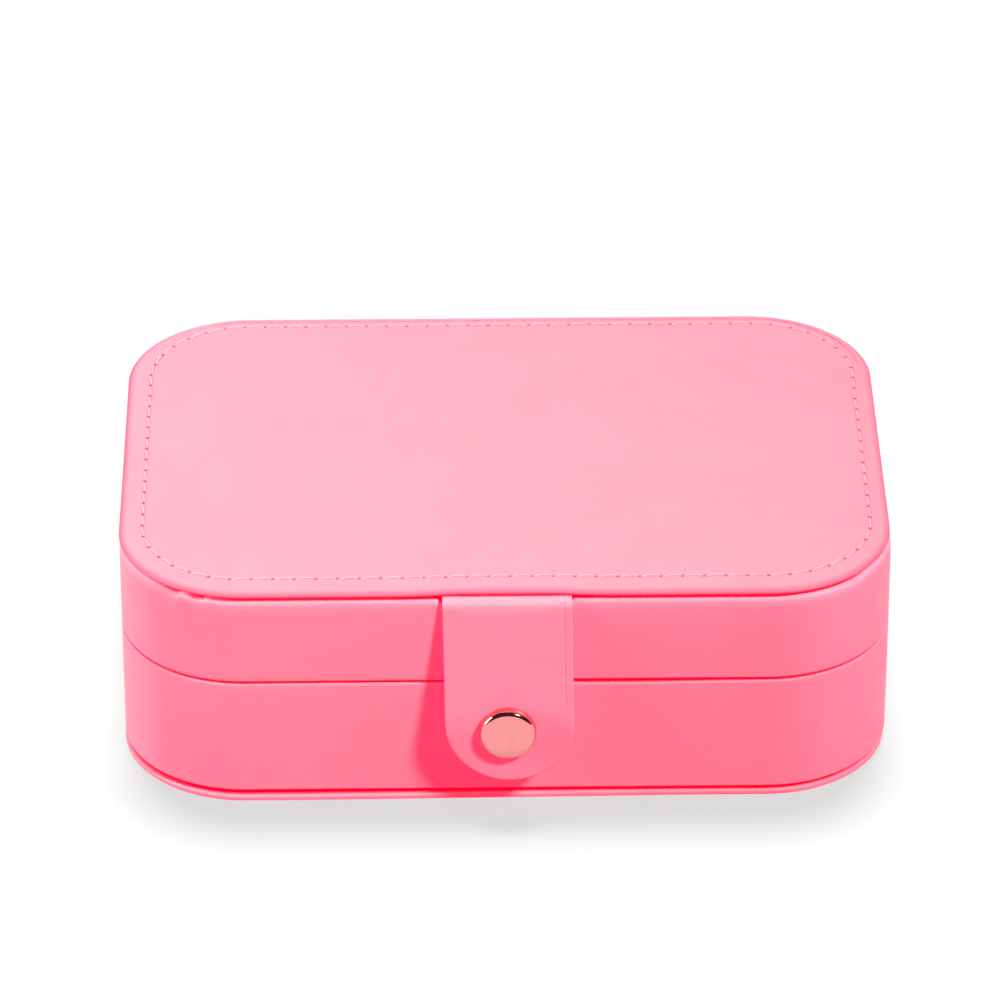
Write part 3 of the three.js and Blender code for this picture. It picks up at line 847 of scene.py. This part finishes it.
def spine():
    """The leather across the back that is the lid's hinge. It dips into the gap between the two rings."""
    low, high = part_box("spine_lower")[0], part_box("spine_upper")[1]
    half, inner, outer = high.x, low.y, high.y
    seat = frame_joint("lid_hinge")["pos_m"][2]
    from_seat = np.array([0.15, 0.3, 0.45, 0.6, 0.8, 1.0, 1.3, 1.7, 2.3]) * MM
    below, above = np.linspace(low.z, seat - 3 * MM, 14), np.linspace(seat + 3 * MM, high.z, 11)
    z = np.concatenate([below, seat - from_seat[::-1], [seat], seat + from_seat, above])
    middle_x = np.linspace(-half + 0.4 * MM, half - 0.4 * MM, 66)
    x = np.concatenate([[-half, -half + 0.12 * MM], middle_x, [half - 0.12 * MM, half]])
    zz, xx = np.meshgrid(z, x, indexing="ij")
    dip = 0.30 * MM * bell(zz, seat, 0.9 * MM)
    from_edge = np.minimum(half - np.abs(xx), np.minimum(zz - low.z, high.z - zz))
    edge = ramp(from_edge, 0, 0.4 * MM)
    turned = (1 - np.sqrt(1 - (1 - edge) ** 2)) * (outer - inner) * 0.45
    back = outer - dip - turned + 0.03 * MM * sheet_noise(xx, zz, 12 * MM, 6.2) * edge
    front = inner - dip * 0.5 + turned
    vertices, faces = two_sided(np.stack([xx, back, zz], axis=2), np.stack([xx, front, zz], axis=2))
    # Painted shade along the crease at the hinge.
    fold = np.tile(0.4 * bell(zz, seat, 0.35 * MM).ravel(), 2)
    replaced = ["spine_lower", "spine_upper"]
    strip = piece("spine_leather", vertices, faces, LEATHER, "leather", None, replaced, depth=fold)
    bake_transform(strip)
    return strip


def frame_joint(name):
    return next(j for j in frame["joints"] if j["name"] == name)


# ---------------------------------------------------------------- strap and press stud

STRAP_LOW, STRAP_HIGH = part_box("strap_outer")
STRAP_HALF = STRAP_HIGH.x
HANG = STRAP_LOW.y + 0.15 * MM  # y of the middle of its thickness over the press stud
SNAP_Z = (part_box("snap_cap")[0].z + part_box("snap_cap")[1].z) / 2
SNAP = (0, SNAP_Z)
ROOT_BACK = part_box("strap_root")[1].y


def strap_line():
    """The strap's middle line from its root to its end, as (y, z) points about 0.3 mm apart, with the
    distance along it and its thickness at each point. It lies on the lid's wall, then swings clear."""
    slot = TOP_LOW - 0.16 * MM
    root = [(ROOT_BACK, slot), (-54.6 * MM, slot), (-55.4 * MM, slot - 0.02 * MM)]
    bend = [(-56.0 * MM, slot - 0.22 * MM), (-56.31 * MM, slot - 0.80 * MM)]
    leaning = np.array([
        (-56.62, 46.2), (-56.82, 44.6), (-57.16, 41.9), (-57.58, 38.8), (-58.06, 35.6),
        (-58.56, 32.6), (-59.18, 29.2), (-59.79, 26.0), (-60.34, 23.0),
    ]) * MM
    hanging = [(HANG, SNAP_Z), (HANG - 0.15 * MM, 16 * MM), (HANG - 0.38 * MM, 12 * MM)]
    tip = [(HANG - 0.62 * MM, STRAP_LOW.z + 0.35 * MM)]
    fine = catmull_rom(np.concatenate([root, bend, leaning, hanging, tip]), 12)
    run = np.concatenate([[0], np.cumsum(np.linalg.norm(np.diff(fine, axis=0), axis=1))])
    count = round(run[-1] / (0.3 * MM))
    s = np.linspace(0, run[-1], count + 1)
    middle = np.column_stack([np.interp(s, run, fine[:, k]) for k in (0, 1)])
    thick = np.interp(s, [0, 2.2 * MM, 3.4 * MM, 15 * MM], [0.6 * MM, 0.7 * MM, 0.95 * MM, 1.75 * MM])
    return s, middle, thick


def tongue_rings(half, sides, turn_at):
    """Flat outlines of the strap as (x, distance along it), each further in than the last. They run down its
    left side, round its end and up its right side."""
    insets = [0, 0.05, 0.12, 0.24, 0.4, 0.65, 0.95, 1.25, 1.45, 1.58, 1.7, 1.82, 1.95, 2.2, 2.6, 3.2]
    angles = np.linspace(math.pi, 2 * math.pi, 45)
    rings = []
    for inset in np.array(insets) * MM:
        width = half - inset
        left = [(-width, at) for at in sides]
        end = [(width * math.cos(a), turn_at - width * math.sin(a)) for a in angles]
        rings.append(np.array(left + end + [(width, at) for at in sides[::-1]]))
    return rings, np.array(insets) * MM


def catmull_rom(knots, steps):
    """A smooth curve through the knots."""
    padded = np.concatenate([[2 * knots[0] - knots[1]], knots, [2 * knots[-1] - knots[-2]]])
    t = np.linspace(0, 1, steps, endpoint=False)[:, None]
    pieces = []
    for a, b, c, d in zip(padded, padded[1:], padded[2:], padded[3:]):
        curve = 2 * b + (c - a) * t + (2 * a - 5 * b + 4 * c - d) * t**2 + (3 * b - a - 3 * c + d) * t**3
        pieces.append(curve / 2)
    return np.concatenate(pieces + [knots[-1:]])


def ply(name, node, low_share, high_share, narrower, fold_line):
    """One layer of the strap between two shares of its thickness: -0.5 is its inner face, 0.5 its outer."""
    s, middle, thick = strap_line()
    total = s[-1]
    turn_at = total - STRAP_HALF
    sides = s[s < turn_at - 0.1 * MM]
    sides = np.concatenate([sides[:45], sides[45::3]])
    rings, insets = tongue_rings(STRAP_HALF - 0.1 * MM - narrower, sides, turn_at)
    count, loop = len(rings), len(rings[0])
    innermost = np.column_stack([rings[-1], np.zeros(loop)])
    inner_points, triangles = filled(innermost, 1.5 * MM, lambda x, y: x * 0)
    flat = np.concatenate(rings + [inner_points[:, :2]])
    x, at = flat.T
    from_edge = np.concatenate([np.repeat(insets, loop), np.full(len(inner_points), 4 * MM)])

    mid_share, reach_share = (low_share + high_share) / 2, (high_share - low_share) / 2
    rounded = np.sqrt(1 - ramp(from_edge, 0.38 * MM, 0) ** 2)
    on_right = ramp(x, 0, 8 * MM) * ramp(at, turn_at - 1 * MM, turn_at - 5 * MM)
    crease = fold_line * 0.16 * MM * on_right * bell(from_edge, 1.7 * MM, 0.16 * MM)
    from_snap = np.hypot(x, at - (total - (SNAP_Z - STRAP_LOW.z)))
    press = 0.12 * MM * ramp(from_snap, 9 * MM, 5.5 * MM) ** 2
    wave = 0.03 * MM * sheet_noise(x, at, 9 * MM, 3.3) * (from_edge > 1 * MM)

    slope = np.gradient(middle, s, axis=0)
    normal = np.column_stack([slope[:, 1], -slope[:, 0]])
    if normal[-1, 0] > 0:
        normal = -normal
    base = np.column_stack([np.interp(at, s, middle[:, k]) for k in (0, 1)])
    facing = np.column_stack([np.interp(at, s, normal[:, k]) for k in (0, 1)])
    thickness = np.interp(at, s, thick)
    layers = []
    for sign in (1, -1):
        offset = (mid_share + sign * reach_share * rounded) * thickness
        if sign > 0 and fold_line:
            offset = offset - crease - press + wave
        yz = base + facing * offset[:, None]
        lean = 0.1 * MM + 0.5 * MM * (TOP_LOW - yz[:, 1]) / (28 * MM)
        layers.append(np.column_stack([x + lean, yz]))
    faces = []
    for first in (0, len(flat)):
        for r in range(first, first + (count - 1) * loop, loop):
            faces += [(r + k, r + k + 1, r + k + 1 + loop, r + k + loop) for k in range(loop - 1)]
        core = first + (count - 1) * loop
        faces += [tuple(core + v for v in triangle) for triangle in triangles]
    root = [r * loop for r in range(count)] + [r * loop + loop - 1 for r in range(count - 1, -1, -1)]
    faces += [(a, b, len(flat) + b, len(flat) + a) for a, b in zip(root, root[1:])]
    # Painted highlight: the strap's colour is paled along its bend under the top plate.
    bent = np.tile(0.9 * bell(at, 3.5 * MM, 0.9 * MM), 2)
    vertices = np.concatenate(layers)
    layer = piece(name, vertices, faces, STRAP_LEATHER, "leather", None, node, crease=70, stretch=bent)
    face_outwards(layer.data, 0.001 * MM)
    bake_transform(layer)
    return layer


def snap_part(name, node, body, profile, centre, steps, crease):
    """A turned piece of the press stud."""
    vertices, faces = lathed(profile, centre, steps)
    return piece(name, vertices, faces, NICKEL, "nickel", body, [node], crease=crease)


def snap_cap():
    """The cap: a low dome with a steep shoulder. Its shank goes through the strap to the socket."""
    face, back = HANG - 0.875 * MM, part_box("snap_cap")[1].y
    curve, crown = 18.7, 2.75
    outline = [(r, crown - curve + math.sqrt(curve**2 - r**2)) for r in np.linspace(0, 4.95, 16)]
    outline += arc((4.673, 1.07), (1.05, 1.05), 70, 10, 12)
    outline += [(5.8, 0.85), (5.86, 0.5), (5.86, 0.25), (5.8, 0.08), (5.6, 0.0)]
    profile = [(radius * MM, face - height * MM) for radius, height in outline]
    profile += [(1.2 * MM, face), (1.2 * MM, back), (0, back)]
    return snap_part("snap_cap_dome", "snap_cap", "strap", profile, (0.2 * MM, SNAP_Z + 0.3 * MM), 128, 50)


def snap_socket():
    """The socket's ring, which reaches from the strap's back to the stud."""
    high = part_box("snap_socket")[1]
    radius, mouth, back = high.x, high.y, HANG + 0.85 * MM
    profile = [(1.5 * MM, back), (radius - 0.4 * MM, back)]
    profile += arc((radius - 0.4 * MM, (back + mouth) / 2), (0.4 * MM, (mouth - back) / 2), -90, 90, 8)
    profile += arc((radius - 1.6 * MM, mouth - 0.25 * MM), (0.5 * MM, 0.25 * MM), 90, 180, 4)
    profile += arc((2.75 * MM, mouth - 0.2 * MM), (0.45 * MM, 0.2 * MM), 0, 180, 8)
    profile += [(2.3 * MM, mouth - 1.05 * MM), (1.5 * MM, mouth - 1.05 * MM)]
    return snap_part("snap_socket_ring", "snap_socket", "strap", profile, SNAP, 96, 45)


def snap_stud():
    """The stud: a post on a flange that lies on the base's wall."""
    low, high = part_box("snap_stud")
    radius, tip, wall = high.x, low.y, -HALF_Y + COVER_OUT - 0.05 * MM
    flange = wall - 0.6 * MM
    profile = [(0, tip)] + arc((1.3 * MM, tip + 0.3 * MM), (0.6 * MM, 0.3 * MM), -90, 20, 8)
    profile += [(1.6 * MM, flange - 0.12 * MM), (1.8 * MM, flange), (3.4 * MM, flange)]
    profile += arc((radius - 0.5 * MM, flange + 0.3 * MM), (0.5 * MM, 0.3 * MM), -90, 90, 8)
    profile += [(1.2 * MM, wall), (1.2 * MM, high.y), (0, high.y)]
    return snap_part("snap_stud_turned", "snap_stud", "base", profile, SNAP, 96, 45)


# ---------------------------------------------------------------- inside the base


def ring_roll(number):
    """A foam roll in velvet, pressed a little flat by its neighbours."""
    node = f"ring_roll_{number}"
    low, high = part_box(node)
    middle, radius = (low + high) / 2, (high.z - low.z) / 2
    length, end_round, around = high.x - low.x, 1.8 * MM, 56
    rounded = np.array([0, 0.25, 0.5, 0.75]) * end_round
    straight = np.linspace(end_round, length - end_round, 40)
    x = np.concatenate([rounded, straight, length - rounded[::-1]])
    to_straight = end_round - np.minimum(np.minimum(x, length - x), end_round)
    size = 1 - (end_round - np.sqrt(end_round**2 - to_straight**2)) / radius
    angle = 2 * np.pi * np.arange(around) / around
    squareness = 0.8
    section_y = np.sign(np.cos(angle)) * np.abs(np.cos(angle)) ** squareness * (radius + 0.28 * MM)
    section_z = np.sign(np.sin(angle)) * np.abs(np.sin(angle)) ** squareness * radius
    flat = np.column_stack([
        np.repeat(low.x + x, around),
        (middle.y + size[:, None] * section_y).ravel(),
        (middle.z + size[:, None] * section_z).ravel(),
    ])
    puff = smooth_noise(flat, 8 * MM, number * 5.1) * 0.22 * MM
    flat[:, 2] += puff * (flat[:, 2] > middle.z)
    faces = tube_faces(len(x), around)
    roll = piece(f"velvet_roll_{number}", flat, faces, ROLL_VELVET, "velvet", "base", [node], crease=75)
    return roll


def velvet_board(node, body, bulge, edge=0.9 * MM):
    """A thin board padded with velvet, such as a partition or a divider."""
    low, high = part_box(node)
    vertices, faces = rounded_box(low, high, edge, 2.5 * MM, bulge)
    ripple = smooth_noise(vertices, 7 * MM, len(node)) * 0.06 * MM
    thin = int(np.argmin(np.array(high) - np.array(low)))
    middle = (low[thin] + high[thin]) / 2
    vertices[:, thin] += ripple * np.sign(vertices[:, thin] - middle)
    board = piece(f"padded_{node}", vertices, faces, VELVET, "velvet", body, [node])
    return board


# ---------------------------------------------------------------- inside the lid


def mirror_glass():
    """The mirror's plate, with a bevel round its face."""
    low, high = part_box("mirror_glass")
    outline = outline_of("mirror_glass", 2 * MM)
    profile = [(1.2 * MM, high.z), (0.1 * MM, high.z), (0, high.z - 0.1 * MM), (0, low.z + 0.4 * MM)]
    profile += [(0.5 * MM, low.z), (1.2 * MM, low.z)]
    vertices, faces = capped_sweep(swept(outline, outline.spaced(1.5 * MM), profile), 8 * MM)
    return piece("mirror_plate", vertices, faces, MIRROR, "mirror", "lid", ["mirror_glass"], crease=20)


def outline_of(node, radius):
    """A CAD node's outline seen from above."""
    low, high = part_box(node)
    centre = ((low.x + high.x) / 2, (low.y + high.y) / 2)
    return RoundedRectangle((high.x - low.x) / 2, (high.y - low.y) / 2, radius, centre)


def mirror_frame():
    """The leather rim that holds the mirror: a rolled border with a lip over the glass."""
    low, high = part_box("mirror_frame")
    outline = outline_of("mirror_frame", 6.5 * MM)
    lip, roll, glass_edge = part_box("mirror_glass")[0].z - 0.05 * MM, low.z + 1.7 * MM, 3.75 * MM
    profile = arc((3 * MM, roll), (3 * MM, 1.7 * MM), 180, 268, 10)
    profile += [(5.4 * MM, low.z + 0.05 * MM), (6.0 * MM, low.z + 0.35 * MM), (6.0 * MM, lip)]
    profile += [(glass_edge, lip), (glass_edge, high.z), (0.2 * MM, high.z), (0, high.z - 0.2 * MM)]
    profile += line((0, high.z - 0.2 * MM), (0, roll), 0.6 * MM)
    points = swept(outline, outline.spaced(0.9 * MM), profile)
    faces = ring_faces(*points.shape[:2], True)
    vertices = points.reshape(-1, 3)
    return piece("mirror_rim", vertices, faces, LEATHER, "leather", "lid", ["mirror_frame"], crease=60)


def necklace_hook(number):
    """A bent wire with a ball at its end and a turned foot."""
    node = f"necklace_hook_{number}"
    low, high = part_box(node)
    x, foot_y, top = (low.x + high.x) / 2, high.y - 2.3 * MM, high.z
    bend = [(0, -0.3), (0, -2.2), (0, -4.0), (-0.35, -5.2), (-1.35, -6.0), (-2.5, -6.0), (-3.1, -5.5)]
    curve = catmull_rom(np.array(bend) * MM, 8)
    wire = tube([(x, foot_y + y, top + z) for y, z in curve], 0.65 * MM, 16)
    ball_ends = [(-3.15 * MM, -5.45 * MM), (-3.2 * MM, -5.35 * MM)]
    ball = tube([(x, foot_y + y, top + z) for y, z in ball_ends], 0.8 * MM, 16)
    foot = [(0, 0.02), (1.9, 0.02), (2.25, 0.15), (2.25, 0.4), (1.9, 0.6), (1.2, 0.62), (0.9, 0.9), (0, 0.95)]
    vertices, faces = lathed([(radius * MM, depth * MM) for radius, depth in foot], (0, 0), 48)
    turned = np.column_stack([vertices[:, 0] + x, vertices[:, 2] + foot_y, top - vertices[:, 1]])
    vertices, faces = joined(wire, ball, (turned, faces))
    return piece(f"hook_{number}", vertices, faces, NICKEL, "nickel", "lid", [node], crease=50)


def pocket_pouch():
    """Velvet gathered by the elastic: folds fan out from it and die away towards the far seam."""
    low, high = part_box("pocket_pouch")
    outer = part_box("pocket_elastic")[1].y - 0.4 * MM
    u, v = np.meshgrid(np.linspace(0, 1, 150), np.linspace(0, 1, 46))
    x = low.x + u * (high.x - low.x)
    y = outer + v * (high.y - outer)
    wobble = sheet_noise(u * 3, v * 1.2, 1.0, 2.2)
    gathers = np.sin(2 * np.pi * (11 * u + 0.9 * wobble)) * np.exp(-v * 2.0)
    across = np.sin(np.pi * u)
    pillow = across**0.35 * np.sin(np.pi * np.clip(v * 0.92 + 0.08, 0, 1)) ** 0.5
    drop = 0.25 + 1.15 * pillow + 0.42 * gathers * across**0.3 + 0.12 * wobble
    front, back = high.z - drop * MM, np.full_like(x, high.z)
    vertices, faces = two_sided(np.stack([x, y, front], axis=2), np.stack([x, y, back], axis=2))
    return piece("gathered_pouch", vertices, faces, VELVET, "velvet", "lid", ["pocket_pouch"], crease=60)


def pocket_elastic():
    """The ruched elastic along the pocket's mouth."""
    low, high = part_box("pocket_elastic")
    vertices, faces = rounded_box(low, high, 0.6 * MM, 0.5 * MM, (0, 0.1 * MM, 0.15 * MM))
    share = (vertices[:, 0] - low.x) / (high.x - low.x)
    ruche = 0.16 * MM * np.sin(2 * np.pi * 22 * share + 1.5 * np.sin(9 * share))
    vertices[:, 2] += ruche * (vertices[:, 2] < (low.z + high.z) / 2)
    return piece("ruched_elastic", vertices, faces, ELASTIC, "elastic", "lid", ["pocket_elastic"])


# ---------------------------------------------------------------- build

top_cover()
top_stitching()
bottom_cover()
base_neck, lid_neck = BOTTOM_HIGH + 0.05 * MM, TOP_LOW - 0.02 * MM
base_heights, lid_heights = (base_neck, BASE_LOW, BASE_HIGH), (lid_neck, LID_HIGH, LID_LOW)
wall_cover("base_leather", "base_wall_cover", "base", *base_heights, np.zeros_like, base_rim_rise)
wall_cover("lid_leather", "lid_wall_cover", "lid", *lid_heights, lid_edge_rise, lid_rim_rise)
base_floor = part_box("ring_bed")[0].z - 0.05 * MM
base_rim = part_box("base_lining")[1].z
lining("base_velvet", "base_lining", "base", base_floor, base_rim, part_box("base_lining")[0].z)
lid_low, lid_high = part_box("lid_lining")
lining("lid_velvet", "lid_lining", "lid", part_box("mirror_frame")[1].z + 0.05 * MM, lid_low.z, lid_high.z)
spine()
ply("strap_face", ["strap_outer", "strap_root"], 0.03, 0.5, 0, 1)
ply("strap_backing", ["strap_lining"], -0.5, 0.0, 0.25 * MM, 0)
snap_cap()
snap_socket()
snap_stud()
for roll_number in range(1, 8):
    ring_roll(roll_number)
for partition in ("partition_left", "partition_right"):
    velvet_board(partition, "base", (0.12 * MM, 0, 0))
for divider in ("divider_left_front", "divider_left_rear", "divider_right"):
    velvet_board(divider, divider, (0, 0.3 * MM, 0))
mirror_glass()
mirror_frame()
velvet_board("hook_bar", "lid", (0, 0, 0.25 * MM), 1.2 * MM)
for hook_number in range(1, 5):
    necklace_hook(hook_number)
velvet_board("pocket_panel", "lid", (0, 0, 0.05 * MM), 0.3 * MM)
pouch = pocket_pouch()
pocket_elastic()


# ---------------------------------------------------------------- camera, floor and light

scene = bpy.context.scene
scene.view_settings.view_transform = "Standard"


def direction(azimuth, elevation):
    """Unit vector towards a place seen at this azimuth (0 is in front, 90 is on the right) and elevation."""
    a, e = math.radians(azimuth), math.radians(elevation)
    return Vector((math.sin(a) * math.cos(e), -math.cos(a) * math.cos(e), math.sin(e)))


def camera():
    """A long lens from the front, a little left of the middle, at a third of the way up to overhead."""
    middle, distance = Vector((0, 0, 25 * MM)), 1.356
    towards = direction(-0.92, 31.86)
    place = middle + distance * towards
    right = Vector((0, 0, 1)).cross(towards).normalized()
    up = towards.cross(right)
    aim = middle + 10.7 * MM * up - 0.45 * MM * right
    lens = bpy.data.cameras.new("camera")
    lens.sensor_width = 36
    lens.lens = 231.4
    lens.clip_start, lens.clip_end = 0.05, 50
    thing = bpy.data.objects.new("camera", lens)
    thing.location = place
    thing.rotation_euler = (aim - place).to_track_quat("-Z", "Y").to_euler()
    scene.collection.objects.link(thing)
    scene.camera = thing


def floor():
    """A plain pale floor that glows a little, so that the shadow on it stays light."""
    mesh = bpy.data.meshes.new("floor")
    size, low = 6, -0.02 * MM
    corners = [(-size, -size, low), (size, -size, low), (size, size, low), (-size, size, low)]
    mesh.from_pydata(corners, [], [(0, 1, 2, 3)])
    glow = {"Emission_Color": (1, 1, 1, 1), "Emission_Strength": 0.70}
    finish = Finish("pale_floor", Roughness=0.9, Specular_IOR_Level=0.0, **glow)
    finish.colour(finish.mix(finish.noise(0.3), (0.029, 0.029, 0.029), (0.031, 0.031, 0.031)))
    mesh.materials.append(finish.material)
    thing = bpy.data.objects.new("floor", mesh)
    scene.collection.objects.link(thing)
    thing.visible_diffuse = False
    return thing


def sun(name, azimuth, elevation, strength, angle, only, colour=(1, 1, 1), shadow=True):
    """Light from one side. Strength 1 lights a white face turned to it to full white."""
    looks = {"angle": math.radians(angle), "color": colour, "use_shadow": shadow}
    lamp(name, "SUN", strength, (0, 0, 0), direction(azimuth, elevation), only, **looks)


def receivers(name, things):
    """A collection that a light can be limited to."""
    group = bpy.data.collections.new(name)
    for thing in things:
        group.objects.link(thing)
    return group


def lamp(name, kind, strength, place, facing, only, **settings):
    """A lamp at a place, with its back turned towards `facing`. It lights only the things in `only`."""
    data = bpy.data.lights.new(name, kind)
    data.energy = strength * math.pi
    for setting, value in settings.items():
        setattr(data, setting, value)
    thing = bpy.data.objects.new(name, data)
    thing.location = place
    thing.rotation_euler = facing.to_track_quat("Z", "Y").to_euler()
    scene.collection.objects.link(thing)
    thing.light_linking.receiver_collection = only


def softbox(name, place, size, strength, only):
    """A square lamp that faces the case. Strength 1 lights a white face turned to it, at the case, to full
    white."""
    place = Vector(place)
    lamp(name, "AREA", strength * math.pi * place.length_squared, place, place, only, size=size)


def gridded_softbox(name, azimuth, elevation, strength, only):
    """A round softbox two metres away with a grid on it. It points past the case's left side, so its light
    falls off by a quarter from left to right. Strength is what reaches the middle of the case."""
    distance, half_spread, off_axis = 2.0, 0.25, 0.10
    passed = (half_spread - off_axis) / (half_spread - math.atan(half_spread))
    place = distance * direction(azimuth, elevation)
    aim = off_axis * distance * Vector((-1.206, 0.334, 0))
    power = strength * math.pi * distance**2 / passed
    shape = {"shape": "DISK", "size": 0.315, "spread": 2 * math.atan(half_spread)}
    lamp(name, "AREA", power, place, place - aim, only, **shape)


def lights(ground):
    """The case, its leather and the floor are each lit by lamps of their own."""
    solid = [o for o in scene.objects if o.type == "MESH" and o != ground]
    pink = {"pink_leather", "strap_leather"}
    covered = [o for o in solid if o.data.materials and o.data.materials[0].name in pink]
    the_case = receivers("the_case", solid)
    the_leather = receivers("the_leather", covered)
    the_floor = receivers("the_floor", [ground])

    gridded_softbox("key", 48.5, 48, 1.23, the_case)
    sun("overhead", 180, 64, 0.17, 44, the_case)
    softbox("left_softbox", (-0.90, -0.09, 0.33), 0.5, 1.00, the_case)
    sun("rear_softbox", 165, 8, 0.35, 60, the_case)
    sun("floor_light", 180, 73, 13, 22, the_floor)
    for side, azimuth in (("front", 0), ("right", 90), ("rear", 180), ("left", 270)):
        sun(f"rose_{side}", azimuth, 0, 0.9, 40, the_leather, (1.0, 0.0, 0.2), False)
    for side, elevation, blue in (("above", 90, 0.06), ("below", -90, 0.2)):
        sun(f"rose_{side}", 0, elevation, 0.9, 40, the_leather, (1.0, 0.0, blue), False)


def studio():
    """The world: white to the camera, grey-blue in the mirror and nearly black to all other light."""
    world = bpy.data.worlds.new("studio")
    world.use_nodes = True
    tree = world.node_tree
    background = tree.nodes["Background"].inputs
    background["Strength"].default_value = 1.0
    rays = tree.nodes.new("ShaderNodeLightPath").outputs
    others = (0.04, 0.04, 0.04)
    colour = mix_colours(tree, rays["Is Singular Ray"], others, (0.56, 0.60, 0.64))
    colour = mix_colours(tree, rays["Is Camera Ray"], colour, (1, 1, 1))
    tree.links.new(colour, background["Color"])
    scene.world = world


camera()
lights(floor())
studio()
